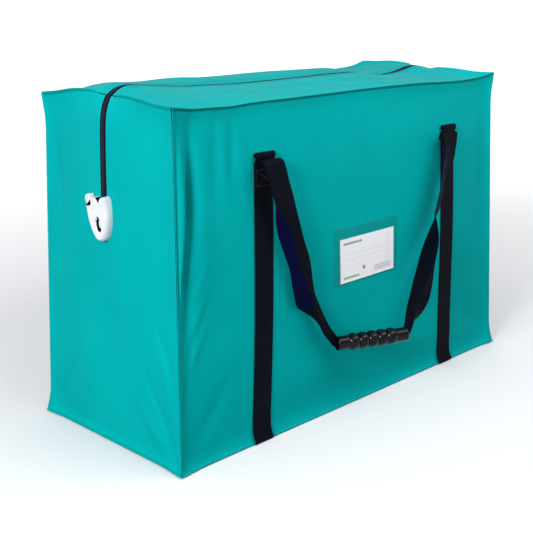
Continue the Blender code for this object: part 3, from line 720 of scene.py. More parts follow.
def build_long_wall(name, node, side):
    size = (2 * HALF_WIDTH, WALL_HEIGHT)

    def place(a, b):
        z = SEAM_LOW + b
        x = (a / HALF_WIDTH - 1) * taper(HALF_WIDTH, z)
        return on_front(x, z, side)

    seams = (seam(-1, side, 0), seam(1, side, 0), seam(0, side, -0.2), seam(0, side, 1))
    across, up = spaced(size[0], coarse=0.005, growth=1.08), spaced(size[1], coarse=0.008)
    piece = build_panel(name, node, place, size, (0, side, 0), seams, with_fins(across), with_fins(up),
                        flip=side > 0)
    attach(piece, ROOT)


def place_end(y, z, side, lift=0.0):
    """A place on an end; z runs up to SEAM_HIGH, and the cloth rises with the top near the zip."""
    share = np.clip((z - SEAM_LOW) / WALL_HEIGHT, 0, 1)
    points = on_end(y, z, side, lift)
    points[..., 2] += end_rise(y, side) * share**3
    return points


def build_end(name, node, side):
    size = (2 * HALF_DEPTH, WALL_HEIGHT)
    bottom = ZIP_BOTTOM[side] - SEAM_LOW
    slit = (HALF_DEPTH - SLIT, HALF_DEPTH + SLIT)

    def true_y(a, z):
        """Places beside the slit keep their distance from it, whatever the taper."""
        y = a - HALF_DEPTH
        beyond = np.clip((np.abs(y) - 0.04) / (HALF_DEPTH - 0.04), 0, 1)
        return y * (1 + beyond * (taper(HALF_DEPTH, z) / HALF_DEPTH - 1))

    def place(a, b):
        z = SEAM_LOW + b
        y = true_y(a, z)
        points = place_end(y, z, side)
        lift = hem(np.abs(y) - SLIT) * (np.abs(y) >= SLIT - 1e-6) * ease((b - bottom + 0.004) / 0.004)
        points[..., 0] += side * lift
        return points

    across = spaced(size[0], coarse=0.0045)
    across = across[np.abs(across - HALF_DEPTH) > SLIT + HEM_PLACES[-1] + 0.003]
    across = np.sort(np.concatenate([across, slit[0] - HEM_PLACES, slit[1] + HEM_PLACES, [HALF_DEPTH]]))
    up = spaced(size[1], coarse=0.007, exactly=(bottom,))

    def keep(a, b):
        middle_a, middle_b = (a[:-1, :-1] + a[1:, 1:]) / 2, (b[:-1, :-1] + b[1:, 1:]) / 2
        return ~((middle_a > slit[0]) & (middle_a < slit[1]) & (middle_b > bottom))

    seams = (seam(side, -1, 0), seam(side, 1, 0), seam(side, 0, -0.2), seam(side, 0, 1, width=near_slit))
    piece = build_panel(name, node, place, size, (side, 0, 0), seams, with_fins(across), with_fins(up), keep,
                        flip=side > 0)
    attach(piece, ROOT)


def build_base():
    size = (2 * HALF_WIDTH, 2 * HALF_DEPTH)

    def place(a, b):
        x = (a / HALF_WIDTH - 1) * taper(HALF_WIDTH, SEAM_LOW)
        y = (b / HALF_DEPTH - 1) * taper(HALF_DEPTH, SEAM_LOW)
        z = SEAM_LOW - 0.0008 * pillow(a / HALF_WIDTH - 1, b / HALF_DEPTH - 1, 0.3)
        return np.stack([MIDDLE_X + x, y, z], axis=-1)

    seams = (seam(-1, 0, -0.2), seam(1, 0, -0.2), seam(0, -1, -0.2), seam(0, 1, -0.2))
    piece = build_panel("bag_base", "base_panel", place, size, (0, 0, -1), seams, with_fins(spaced(size[0])),
                        with_fins(spaced(size[1])))
    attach(piece, ROOT)


# ---------------------------------------------------------------- top halves
FACES = {-1: "front", 1: "rear"}
TOP_PARTS = {-1: "left", 0: "middle", 1: "right"}
FLAPS = {-1: "front_flap", 1: "rear_flap"}
GUSSET = 0.22                # the zip's mouth opens over this much at each end
END_SHARE = taper(HALF_WIDTH, SEAM_HIGH) / HALF_WIDTH
TOP_DEPTH = taper(HALF_DEPTH, SEAM_HIGH)
TOP_SPAN = TOP_DEPTH - SLIT


def split_line(b):
    """Where a top half's end gusset meets its middle, from its end."""
    return np.where(b < 0, b, GUSSET * b / TOP_SPAN)


def place_top(a, b, side):
    """A place on a top half, a from its left end (of 2 HALF_WIDTH) and b from its long seam."""
    y = side * (TOP_DEPTH - b)
    x = (a / HALF_WIDTH - 1) * top_reach(y)
    points = on_top(x, y)
    points[..., 2] += hem(np.abs(y) - SLIT)
    return points


def build_top_part(name, node, side, part):
    """part is -1 for the left gusset, 0 for the middle and 1 for the right gusset."""
    up = spaced(TOP_SPAN, fine=0.0022, coarse=0.006)
    up = np.concatenate([up[up < TOP_SPAN - HEM_PLACES[-1] - 0.003], TOP_SPAN - HEM_PLACES[::-1]])
    up = with_fins(up, high=False)
    length = 2 * HALF_WIDTH
    splits = split_line(up)
    if part == 0:
        shares = spaced(1, 0.006, 0.0100)
        across = splits[:, None] + (length - 2 * splits)[:, None] * shares
    else:
        fins = with_fins(np.array([0.0]), high=False)[:-1]
        shares = spaced(1, 0.010, 0.05)
        beyond = np.minimum(fins[None, :], np.minimum(splits, 0)[:, None])
        within = np.where(splits[:, None] < 0, splits[:, None], splits[:, None] * shares)
        across = np.concatenate([beyond, within], axis=1)
    if part > 0:
        across = length - across
    b_grid = np.repeat(up[:, None], across.shape[1], axis=1)

    seams = (seam(-1, 0, 1, width=near_slit), seam(1, 0, 1, width=near_slit), seam(0, side, 1), None)
    size = (length, TOP_SPAN)
    PANELS[name] = lambda a, b: place_top(a, b, side), size, (0, 0, 1), seams
    points = panel_points(*PANELS[name], across, b_grid)
    wear = seam_wear(across, b_grid, size)
    mesh = grid_mesh(name, points, np.stack([across, b_grid], axis=-1), wear=wear)
    weld(mesh)
    piece = add_piece(name, mesh, FABRIC)
    face_up(mesh)
    thicken(piece, CLOTH)
    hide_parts(node)
    blend_flap(piece, part)


def blend_flap(piece, part):
    """Bake the piece's transform into its mesh, whatever the part; nothing is given over to the flap."""
    if part == 0:
        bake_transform(piece)
    else:
        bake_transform(piece)


def build_top(name, node, side):
    for part, word in TOP_PARTS.items():
        build_top_part(f"{name}_{word}", node, side, part)


# ---------------------------------------------------------------- thread
STITCH = 0.0030
STITCH_STEP = 0.0042
STITCH_RADIUS = 0.00065
RING = np.array([(1.0, 0.0), (0.0, 1.0), (-1.0, 0.0), (0.0, -0.6)])


def resample(points, step):
    """Points along a polyline, step apart, with the unit direction and the share of the length at each."""
    lengths = np.concatenate([[0], np.cumsum(np.linalg.norm(np.diff(points, axis=0), axis=1))])
    count = max(int(lengths[-1] / step), 2)
    at = (np.arange(count) + 0.5) * lengths[-1] / count
    found = np.stack([np.interp(at, lengths, points[:, k]) for k in range(3)], axis=1)
    ahead = np.stack([np.interp(at + step / 4, lengths, points[:, k]) for k in range(3)], axis=1)
    behind = np.stack([np.interp(at - step / 4, lengths, points[:, k]) for k in range(3)], axis=1)
    return found, unit(ahead - behind), at / lengths[-1]


def stitch_rows(rows, length=STITCH, step=STITCH_STEP, radius=STITCH_RADIUS):
    """Vertices and faces of small thread stitches along (points, normals) rows."""
    vertices, faces = [], []
    for points, normals in rows:
        centres, along, share = resample(points, step)
        source = np.linspace(0, 1, len(points))
        up = np.stack([np.interp(share, source, normals[:, k]) for k in range(3)], axis=1)
        up = unit(up - along * np.sum(up * along, axis=1)[:, None])
        beside = np.cross(along, up)
        for centre, forward, normal, left in zip(centres, along, up, beside):
            first = sum(len(v) for v in vertices)
            ring = centre + radius * (RING[:, :1] * left + RING[:, 1:] * normal) * 0.9
            tip, shoulder, dip = forward * length / 2, forward * length * 0.22, normal * radius * 0.7
            vertices.append(np.concatenate([[centre - tip - dip], ring - shoulder, ring + shoulder,
                                            [centre + tip - dip]]))
            for k in range(4):
                n = (k + 1) % 4
                faces.append([first, first + 1 + n, first + 1 + k])
                faces.append([first + 1 + k, first + 1 + n, first + 5 + n, first + 5 + k])
                faces.append([first + 9, first + 5 + k, first + 5 + n])
    return np.concatenate(vertices), faces


def add_thread(name, rows, body, material=None, **sizes):
    """Stitch rows as one piece, riding on body, or left unattached when body is None."""
    mesh = new_mesh(name, *stitch_rows(rows, **sizes))
    face_out(mesh)
    piece = add_piece(name, mesh, material or THREAD_TEAL_WITH_PAINTED_SHADE)
    if body:
        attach(piece, body)
    return piece


BOX_STITCH = ((0, 1), (1, 2), (2, 3), (3, 0), (0, 2), (1, 3))
BOX_THREAD = {"length": 0.0022, "step": 0.0032}
THREAD_LIFT = 0.0001         # of its middle over the webbing


def box_stitch(place, normal, wide, low, high, count):
    """Stitch rows round a rectangle of webbing and along its diagonals."""
    corners = ((-wide, low), (wide, low), (wide, high), (-wide, high))
    rows = []
    for start, stop in BOX_STITCH:
        path = np.linspace(corners[start], corners[stop], count)
        rows.append((place(path[:, 0], path[:, 1]), np.tile(normal, (count, 1))))
    return rows


def line(start, stop, step=0.006):
    return np.linspace(start, stop, max(int(abs(stop - start) / step), 3))


def sew_wall(name):
    """A row on each of a wall's four fins."""
    size = PANELS[name][1]
    rows = []
    at = -FIN * 0.45
    along, up = line(0.002, size[0] - 0.002), line(0.002, size[1] - 0.002)
    for b in (at, size[1] - at):
        rows.append(panel_line(name, along, np.full(along.shape, b)))
    for a in (at, size[0] - at):
        rows.append(panel_line(name, np.full(up.shape, a), up))
    return rows


def sew_end(name, side):
    """Fin rows, and two rows beside the zip that turn under its lower end."""
    rows = sew_wall(name)[2:]
    size = PANELS[name][1]
    across = line(0.002, size[0] / 2 - 0.03)
    for b in (-FIN * 0.45, size[1] + FIN * 0.45):
        for a in (across, size[0] - across):
            rows.append(panel_line(name, a, np.full(a.shape, b)))
    bottom = ZIP_BOTTOM[side] - SEAM_LOW
    for row in HEM_ROWS:
        low = bottom - row
        up = line(low, size[1] - 0.001)
        for sign in (-1, 1):
            a = HALF_DEPTH + sign * (SLIT + row)
            rows.append(panel_line(name, np.full(up.shape, a), up))
        under = line(HALF_DEPTH - SLIT - row, HALF_DEPTH + SLIT + row, 0.003)
        rows.append(panel_line(name, under, np.full(under.shape, low)))
    return rows


def sew_top(name):
    """Two rows beside the zip and one on the long fin, split where the top's parts meet."""
    length = 2 * HALF_WIDTH
    for part, word in TOP_PARTS.items():
        rows = []
        for row in HEM_ROWS:
            b = TOP_SPAN - row
            edge = float(split_line(b))
            ranges = {-1: (0.001, edge), 0: (edge, length - edge), 1: (length - edge, length - 0.001)}
            a = line(*ranges[part])
            rows.append(panel_line(f"{name}_{word}", a, np.full(a.shape, b)))
        if part == 0:
            a = line(0.002, length - 0.002)
            rows.append(panel_line(f"{name}_{word}", a, np.full(a.shape, -FIN * 0.45)))
        thread = add_thread(f"{name}_{word}_thread", rows, None)
        blend_flap(thread, part)


# ---------------------------------------------------------------- zip
ZIP_SINK = 0.0003            # tape top below the fabric's outside
TAPE_THICK = 0.0007
TAPE_GAP = 0.0006            # half the gap between the tapes
TAPE_UNDER = 0.0040          # how far a tape goes under the fabric
TOOTH_STEP = 0.0026
TOOTH_HALF, TOOTH_HIGH = 0.00085, 0.00065    # half of a tooth's width and height
TOOTH_RISE = 0.0004          # tooth middle above the fabric's outside
# A tooth's rings from its outer end: distance from the zip's middle, share of width and of height.
TOOTH_RINGS = ((0.0036, 0.75, 0.5), (0.0030, 1.0, 1.0), (0.0002, 1.0, 1.0), (-0.0006, 0.7, 0.55))


def zip_line():
    """The zip's middle line over the fabric: up the left end, over the top, down the right end."""
    left = place_end(np.zeros(60), np.linspace(ZIP_BOTTOM[-1] - 0.004, SEAM_HIGH, 60), -1)
    reach = float(top_reach(np.array(0.0)))
    top = on_top(np.linspace(-reach, reach, 260), np.zeros(260))
    right = place_end(np.zeros(44), np.linspace(ZIP_BOTTOM[1] - 0.004, SEAM_HIGH, 44), 1)[::-1]
    points = np.concatenate([left[:-1], top, right[1:]])
    points[:, 1] = 0
    points, _, _ = resample(points, 0.0025)
    kernel = np.exp(-(np.arange(-6, 7) / 2.6) ** 2)
    kernel /= kernel.sum()
    for k in (0, 2):
        padded = np.concatenate([2 * points[0, k] - points[6:0:-1, k], points[:, k],
                                 2 * points[-1, k] - points[-2:-8:-1, k]])
        points[:, k] = np.convolve(padded, kernel, "valid")
    return points


def normals_of(points):
    """Outward normals of a line in the XZ plane that runs clockwise round the bag, seen from the front."""
    along = headings(points)
    return np.stack([-along[:, 2], 0 * along[:, 0], along[:, 0]], axis=1)


def split_zip(points):
    """The zip line in its five stretches: name, body or flap part, and which points."""
    x = points[:, 0] - MIDDLE_X
    top = np.arange(len(points))
    corner = np.argmin(np.abs(top - np.argmax(points[:, 2] > SEAM_HIGH + 0.004)))
    last = len(points) - 1 - np.argmax(points[::-1, 2] > SEAM_HIGH - 0.006)
    inner = np.flatnonzero(np.abs(x) <= (HALF_WIDTH - GUSSET) * END_SHARE)
    return (("left", ROOT, slice(0, corner + 1)), ("top_left", -1, slice(corner, inner[0] + 1)),
            ("top_middle", 0, slice(inner[0], inner[-1] + 1)), ("top_right", 1, slice(inner[-1], last + 1)),
            ("right", ROOT, slice(last, len(points))))


def section_sweep(points, across, normals, section):
    """A closed form swept along points, with a closed section of (across, normal) offsets."""
    rings = points[:, None] + section[None, :, :1] * across[:, None] + section[None, :, 1:] * normals[:, None]
    return rings.reshape(-1, 3), swept_faces(*rings.shape[:2])


def closed_mesh(name, parts):
    """One mesh of several closed forms, each with its points and faces."""
    vertices, faces = [], []
    for points, part_faces in parts:
        offset = sum(len(v) for v in vertices)
        vertices.append(points)
        faces += [[offset + k for k in face] for face in part_faces]
    mesh = new_mesh(name, np.concatenate(vertices), faces)
    face_out(mesh)
    return mesh


def add_uv(mesh, along, across):
    """UVs in metres from two functions of the points, for woven materials."""
    points = np.array([v.co for v in mesh.vertices])
    set_uv(mesh, np.stack([along(points), across(points)], axis=1))


def tooth_parts(points, side):
    """The coil's visible turns on one side of the zip, a quarter step ahead or behind."""
    centres, along, _ = resample(points, TOOTH_STEP)
    centres = centres + along * 0.25 * side * TOOTH_STEP
    up = np.stack([-along[:, 2], 0 * along[:, 0], along[:, 0]], axis=1)
    parts = []
    for centre, forward, normal in zip(centres, along, up):
        corners = []
        for y, wide, high in TOOTH_RINGS:
            for f, n in ((-1, -1), (1, -1), (1, 1), (-1, 1)):
                rise = n * TOOTH_HIGH * high + TOOTH_RISE
                corners.append(centre + forward * f * TOOTH_HALF * wide + normal * rise
                               + np.array([0, side * y, 0]))
        faces = [[0, 1, 2, 3], [12, 15, 14, 13]]
        for ring in range(3):
            for k in range(4):
                a, b = ring * 4 + k, ring * 4 + (k + 1) % 4
                faces.append([a, a + 4, b + 4, b])
        parts.append((np.array(corners), faces))
    return parts


def build_zip():
    middle = zip_line()
    normals = normals_of(middle)
    for side, word in FACES.items():
        for stretch, body, which in split_zip(middle):
            points, up = middle[which], normals[which]
            across = np.tile([0.0, 1.0, 0.0], (len(points), 1))
            low, high = sorted((side * TAPE_GAP, side * (SLIT + TAPE_UNDER)))
            bottom = -ZIP_SINK - TAPE_THICK
            section = np.array([(low, -ZIP_SINK), (high, -ZIP_SINK), (high, bottom), (low, bottom)])
            mesh = closed_mesh(f"zip_{stretch}_{word}_tape", [section_sweep(points, across, up, section)])
            add_uv(mesh, lambda p: p[:, 0] + p[:, 2], lambda p: p[:, 1])
            tape = add_piece(mesh.name, mesh, ZIP_TAPE, smooth=False)
            teeth_mesh = closed_mesh(f"zip_{stretch}_{word}_teeth", tooth_parts(points, side))
            teeth = add_piece(teeth_mesh.name, teeth_mesh, ZIP_TEETH)
            area = "top" if "top" in stretch else stretch
            for piece, kind, slot in ((tape, "tape", "zip_tape"), (teeth, "teeth", "zip_teeth")):
                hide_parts(f"zip_{area}_{word}_{kind}")
                if body == ROOT:
                    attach(piece, ROOT)
                elif body == 0:
                    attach(piece, FLAPS[side])
                else:
                    blend_flap(piece, body)


# ---------------------------------------------------------------- webbing
STRAP_HALF = 0.019
STRAP_THICK = 0.0017
STRAP_LIFT = 0.0011          # strap middle above the fabric
BASE_X = {"left": -0.229, "right": 0.240}
TOP_X = {"left": -0.210, "right": 0.240}
# Places across a strap's right half, up to 1, and the share of its thickness there.
STRAP_HALF_SECTION = ((0.04, 1.0), (0.22, 0.92), (0.44, 1.0), (0.66, 0.92), (0.86, 1.0), (0.96, 0.85),
                      (1.0, 0.30))
STRAP_SECTION = tuple((-place, share) for place, share in reversed(STRAP_HALF_SECTION)) + STRAP_HALF_SECTION


def curve_through(points, step=0.004):
    """Evenly spaced rows of a smooth curve through points, whose first three numbers are a place."""
    points = np.array(points, float)
    padded = np.vstack([2 * points[0] - points[1], points, 2 * points[-1] - points[-2]])
    rows = []
    for k in range(1, len(padded) - 2):
        p0, p1, p2, p3 = padded[k - 1:k + 3]
        count = max(int(np.linalg.norm(p2[:3] - p1[:3]) / step), 2)
        t = np.linspace(0, 1, count, endpoint=False)[:, None]
        rows.append(0.5 * (2 * p1 + (p2 - p0) * t + (2 * p0 - 5 * p1 + 4 * p2 - p3) * t**2
                           + (3 * p1 - p0 - 3 * p2 + p3) * t**3))
    return np.vstack([*rows, points[-1:]])


def turn_about(vectors, axes, angles):
    """Each vector turned about its unit axis."""
    cos, sin = np.cos(angles)[:, None], np.sin(angles)[:, None]
    along = np.sum(vectors * axes, axis=1)[:, None]
    return vectors * cos + np.cross(axes, vectors) * sin + axes * along * (1 - cos)


def ribbon_mesh(name, middle, across, outward, half=STRAP_HALF, thickness=STRAP_THICK,
                fold=0.0, crease=0.0, inside=0):
    """A strap swept along middle.

    across points to its right edge and outward to its outer face, for each row. Left of crease, from
    -1 to 1 across it, the strap is turned back by fold, an angle at each row. That part's outer (1)
    or inner (-1) faces get material 1, as inside says for each row.
    """
    count = len(middle)
    half = np.broadcast_to(half, count)
    fold = np.broadcast_to(fold, count)
    crease = np.broadcast_to(crease, count)
    along = headings(middle)
    across = unit(across - along * np.sum(across * along, axis=1)[:, None])
    normal = np.cross(along, across)
    normal *= np.sign(np.sum(normal * outward, axis=1))[:, None]
    turn = np.sign(np.sum(np.cross(along, across) * normal, axis=1))
    left_across = turn_about(across, along, fold * turn)
    left_normal = turn_about(normal, along, fold * turn)
    rings = []
    order = [(*part, 1) for part in STRAP_SECTION] + [(*part, -1) for part in reversed(STRAP_SECTION)]
    for place, share, face in order:
        wing, out = (across, normal) if place > 0 else (left_across, left_normal)
        reach = place * np.where(place > 0, 1 - crease, 1 + crease) * half
        rings.append(middle + across * (crease * half)[:, None] + wing * reach[:, None]
                     + out * (face * share * thickness / 2))
    sides = len(rings)
    mesh = new_mesh(name, np.stack(rings, axis=1).reshape(-1, 3), swept_faces(count, sides))
    length = np.concatenate([[0], np.cumsum(np.linalg.norm(np.diff(middle, axis=0), axis=1))])
    places = np.array([place for place, _, _ in order])
    uv = np.stack(np.broadcast_arrays(length[:, None], places[None, :] * half[:, None]), axis=-1)
    set_uv(mesh, uv.reshape(-1, 2))
    if np.any(inside):
        left = len(STRAP_SECTION) // 2
        outer, inner = np.arange(sides) < left - 1, np.arange(sides) >= sides - left
        kinds = np.where(inside[:-1, None] > 0, outer[None, :], inner[None, :] & (inside[:-1, None] < 0))
        mesh.polygons.foreach_set("material_index", np.concatenate([kinds.ravel(), [0, 0]]).astype(np.int32))
    face_out(mesh)
    return mesh


def finish_webbing(mesh, *nodes):
    piece = add_piece(mesh.name, mesh, WEBBING)
    mesh.set_sharp_from_angle(angle=math.radians(65))
    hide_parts(*nodes)
    return piece


def strap_x(word, z):
    return BASE_X[word] + (TOP_X[word] - BASE_X[word]) * z / STRAP_TOP


def strap_place(word, side, z, out):
    """One place on a strap's middle line, at a height and a distance out from the wall."""
    return on_front(np.array([strap_x(word, z)]), np.array([z]), side, out)[0]


# How a body strap rounds the bottom seam: height, and distance out from the wall.
STRAP_TURN = ((0.0300, 0.0016), (0.0180, 0.0030), (0.0100, 0.0058), (0.0058, 0.0084), (0.0030, 0.0090),
              (0.0012, 0.0068), (0.0010, 0.0020))


def build_body_strap(word):
    heights = np.linspace(STRAP_TOP - 0.008, 0.045, 60)
    sides = {}
    for side in (-1, 1):
        wall = on_front(strap_x(word, heights), heights, side, STRAP_LIFT)
        turn = [strap_place(word, side, z, out) for z, out in STRAP_TURN]
        sides[side] = curve_through(np.concatenate([wall, turn]), 0.003)
    under = np.linspace(sides[-1][-1], sides[1][-1], 30)[1:-1]
    middle = np.concatenate([sides[-1], under, sides[1][::-1]])
    centre = np.array([0.0, 0.0, 0.25])
    across = np.tile([1.0, 0.0, 0.0], (len(middle), 1))
    outward = (middle - centre) * (0, 1, 1)
    mesh = ribbon_mesh(f"{word}_strap", middle, across, outward)
    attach(finish_webbing(mesh, f"{word}_body_strap"), ROOT)


# An anchor patch and its rolled end: distance out from the fabric, and height.
ANCHOR_ROLL = ((0.0028, 0.3885), (0.0029, 0.3980), (0.0029, 0.4080), (0.0029, 0.4180), (0.0031, 0.4225),
               (0.0044, 0.4255), (0.0060, 0.4283), (0.0067, 0.4318), (0.0060, 0.4350), (0.0038, 0.4364),
               (0.0019, 0.4344), (0.0019, 0.4313), (0.0033, 0.4300))
ANCHOR_RAISE = {"left": 0.0026, "right": -0.0004}       # how much higher a roll sits than that


def build_anchor(word, side):
    face = FACES[side]
    points = []
    for out, z in ANCHOR_ROLL:
        points.append(strap_place(word, side, z + ANCHOR_RAISE[word] * (z > 0.41), out))
    middle = curve_through(points, 0.0016)
    across = np.tile([1.0, 0.0, 0.0], (len(middle), 1))
    along = np.gradient(middle, axis=0)
    outward = np.cross(across, along) * -side
    mesh = ribbon_mesh(f"{face}_{word}_anchor_patch", middle, across, outward, half=STRAP_HALF + 0.0006)
    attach(finish_webbing(mesh, f"{face}_{word}_anchor"), ROOT)

    def on_patch(x, z):
        return on_front(strap_x(word, 0.40) + x, z, side, ANCHOR_ROLL[0][0] + STRAP_THICK / 2 + THREAD_LIFT)

    rows = box_stitch(on_patch, (0.0, side, 0.0), 0.0160, 0.3915, 0.4150, 12)
    add_thread(f"{face}_{word}_anchor_thread", rows, ROOT, THREAD_BLACK, **BOX_THREAD)


# ---------------------------------------------------------------- handles
# Free webbing from the left anchor to the grip and from the grip to the right anchor: x, distance
# out, height, half width, turn about the vertical and from level, fold in degrees, and crease.
HANDLE_LEFT = (
    (-0.2105, 0.0035, 0.4200, 0.0186, 0, 0, 0, -0.95),
    (-0.2112, 0.0085, 0.4290, 0.0188, 0, 0, 0, -0.95),
    (-0.2118, 0.0145, 0.4298, 0.0190, 1, 0, 0, -0.95),
    (-0.2106, 0.0185, 0.4240, 0.0190, 1, 0, 0, -0.95),
    (-0.2063, 0.0197, 0.4128, 0.0190, 1, 0, 0, -0.95),
    (-0.2008, 0.0210, 0.3935, 0.0190, -1, 0, 0, -0.95),
    (-0.1935, 0.0222, 0.3705, 0.0190, 0, 0, 0, -0.95),
    (-0.1905, 0.0235, 0.3485, 0.0190, 10, 0, 8, -0.35),
    (-0.1850, 0.0245, 0.3254, 0.0190, 14, 0, 15, 0.08),
    (-0.1763, 0.0255, 0.3014, 0.0190, 8, 0, 18, 0.05),
    (-0.1635, 0.0265, 0.2684, 0.0190, 5, 0, 20, -0.05),
    (-0.1554, 0.0270, 0.2360, 0.0190, -2, 0, 24, 0.28),
    (-0.1475, 0.0270, 0.2154, 0.0188, -10, 0, 30, 0.60),
    (-0.1402, 0.0270, 0.2011, 0.0182, -14, 6, 50, 0.50),
    (-0.1200, 0.0264, 0.1630, 0.0170, -8, 30, 125, 0.0),
    (-0.0990, 0.0250, 0.1335, 0.0165, 0, 60, 165, 0),
)
HANDLE_RIGHT = (
    (0.0440, 0.0800, 0.1310, 0.0165, -86, 0, 165, 0),
    (0.0632, 0.0720, 0.1478, 0.0180, -88, 0, 120, 0),
    (0.0852, 0.0610, 0.1651, 0.0190, -87, 0, 70, -0.2),
    (0.1101, 0.0500, 0.1924, 0.0190, -83, 0, 30, -0.6),
    (0.1299, 0.0430, 0.2219, 0.0190, -76, 0, 8, -0.9),
    (0.1510, 0.0360, 0.2516, 0.0190, -67, 0, 0, -0.95),
    (0.1640, 0.0310, 0.2815, 0.0190, -42, 0, 0, -0.6),
    (0.1680, 0.0290, 0.2920, 0.0190, -30, 0, 0, 0.3),
    (0.1766, 0.0270, 0.3052, 0.0190, -22, 0, 6, 0.25),
    (0.1859, 0.0245, 0.3244, 0.0190, -22, 0, 8, 0.25),
    (0.1937, 0.0220, 0.3472, 0.0190, -22, 0, 8, 0.25),
    (0.1983, 0.0210, 0.3603, 0.0190, -19, 0, 8, 0.2),
    (0.2065, 0.0197, 0.3713, 0.0190, -9, 0, 8, 0.1),
    (0.2145, 0.0186, 0.3858, 0.0190, -2, 0, 12, 0.0),
    (0.2185, 0.0178, 0.4080, 0.0190, 1, 0, 12, -0.3),
    (0.2200, 0.0170, 0.4170, 0.0190, 1, 0, 6, -0.5),
    (0.2215, 0.0140, 0.4236, 0.0190, 0, 0, 0, -0.8),
    (0.2230, 0.0085, 0.4230, 0.0188, 0, 0, 0, -0.9),
    (0.2245, 0.0035, 0.4160, 0.0186, 0, 0, 0, -0.9),
)
HANDLE_THICK = 0.0015
# Heights between which the creased wing of the webbing is painted navy as shade, left and right of the
# middle.
PAINTED_SHADE_LEFT, PAINTED_SHADE_RIGHT = (0.195, 0.405), (0.288, 0.398)
# Inside the grip: share of its length, turns as above, fold and crease.
HANDLE_INSIDE = ((0.04, 0, 80, 174, 0), (0.50, -44, 45, 176, 0), (0.96, -86, 0, 174, 0))
GRIP_START = (-0.080, 0.026, 0.123)      # x, distance out and height
GRIP_TURN = math.radians(23.7)
GRIP_LENGTH = 0.1245


def handle_across(turn, tilt, side):
    return np.stack([np.cos(turn) * np.cos(tilt), side * np.sin(turn) * np.cos(tilt), np.sin(tilt)], axis=-1)


def build_handle(side):
    word = FACES[side]
    ahead = np.array([math.cos(GRIP_TURN), math.sin(GRIP_TURN), 0])
    width = 0.0165
    inner = []
    for share, turn, tilt, fold, crease in HANDLE_INSIDE:
        across = handle_across(math.radians(turn), math.radians(tilt), 1)
        across -= ahead * (across @ ahead)
        beside = across / np.linalg.norm(across) * width / 2
        place = np.array(GRIP_START) + ahead * GRIP_LENGTH * share - beside
        inner.append((*place, width, turn, tilt, fold, crease))
    rows = curve_through(np.array([*HANDLE_LEFT, *inner, *HANDLE_RIGHT]), 0.0035)
    middle = np.stack([MIDDLE_X + rows[:, 0], side * (HALF_DEPTH + rows[:, 1]), rows[:, 2]], axis=1)
    turn, tilt, fold = np.radians(rows[:, 4:7]).T
    across = handle_across(turn, tilt, side)
    outward = side * np.cross(across, np.gradient(middle, axis=0))
    low, high = np.where(rows[:, :1] < 0, PAINTED_SHADE_LEFT, PAINTED_SHADE_RIGHT).T
    # Rows whose creased wing gets the navy painted shade.
    inside = np.where((rows[:, 2] > low) & (rows[:, 2] < high), -np.sign(rows[:, 0]), 0)
    mesh = ribbon_mesh(f"{word}_handle_strap", middle, across, outward, rows[:, 3], HANDLE_THICK,
                       fold, rows[:, 7], inside)
    piece = finish_webbing(mesh, f"{word}_handle_webbing")
    # Material 1 is the navy painted shade on the creased wing.
    mesh.materials.append(WEBBING_PAINTED_SHADE)
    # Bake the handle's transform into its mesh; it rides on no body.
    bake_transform(piece)


def turned_mesh(name, start, axis, profile, segments=40):
    """A closed form turned about an axis; profile is a closed loop of (along, radius)."""
    axis = np.array(axis, float) / np.linalg.norm(axis)
    side = np.cross(axis, (0, 0, 1))
    side /= np.linalg.norm(side)
    up = np.cross(side, axis)
    angles = np.arange(segments) * 2 * math.pi / segments
    circle = np.cos(angles)[:, None] * side + np.sin(angles)[:, None] * up
    rings = np.array([np.array(start) + axis * t + circle * r for t, r in profile])
    index = np.arange(len(profile) * segments).reshape(len(profile), segments)
    ahead, turned = np.roll(index, -1, axis=0), np.roll(index, -1, axis=1)
    both = np.roll(ahead, -1, axis=1)
    faces = np.stack([index, turned, both, ahead], axis=-1).reshape(-1, 4).tolist()
    mesh = new_mesh(name, rings.reshape(-1, 3), faces)
    face_out(mesh)
    return mesh


GRIP_PLAIN = 0.0205          # length of each plain end
GRIP_VALLEY, GRIP_RIDGE, GRIP_END, GRIP_BORE = 0.0104, 0.0136, 0.0113, 0.0090       # radii


def grip_profile():
    """Outside from end to end, with rounded lips and five ridges, and back through the bore."""
    lip = [(0.0, GRIP_BORE + 0.0006), (0.0002, 0.0105), (0.0008, GRIP_END - 0.0003), (0.0018, GRIP_END)]
    outside = [*lip, (0.0040, GRIP_END), (GRIP_PLAIN - 0.0035, GRIP_END - 0.0001),
               (GRIP_PLAIN - 0.0015, GRIP_END - 0.0005)]
    length = GRIP_LENGTH - 2 * GRIP_PLAIN
    ridges = []
    for t in np.linspace(0, 1, 101):
        wave = abs(math.sin(math.pi * 5 * t)) ** 0.72
        ridges.append((GRIP_PLAIN + t * length, GRIP_VALLEY + (GRIP_RIDGE - GRIP_VALLEY) * wave))
    mirrored = [(GRIP_LENGTH - t, r) for t, r in reversed(outside)]
    bore = [(GRIP_LENGTH - 0.0005, GRIP_BORE), (GRIP_LENGTH / 2, GRIP_BORE), (0.0005, GRIP_BORE)]
    return outside + ridges + mirrored + bore


def build_grip(side):
    word = FACES[side]
    x, out, z = GRIP_START
    start = (MIDDLE_X + x, side * (HALF_DEPTH + out), z)
    axis = (math.cos(GRIP_TURN), side * math.sin(GRIP_TURN), 0)
    mesh = turned_mesh(f"{word}_grip_tube", start, axis, grip_profile())
    piece = add_piece(mesh.name, mesh, RUBBER)
    mesh.set_sharp_from_angle(angle=math.radians(70))
    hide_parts(f"{word}_grip")
    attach(piece, f"{word}_grip")


# ---------------------------------------------------------------- label pocket
def add_patch(name, x, z, lift, thickness, material, steps):
    """A thin sheet on the front over x and z ranges."""
    xs, zs = np.meshgrid(np.linspace(*x, steps[0]), np.linspace(*z, steps[1]))
    points = on_front(xs, zs, -1, np.full(xs.shape, lift))
    mesh = grid_mesh(name, points, np.stack([xs, zs], axis=-1))
    return thicken(add_piece(name, mesh, material), thickness)


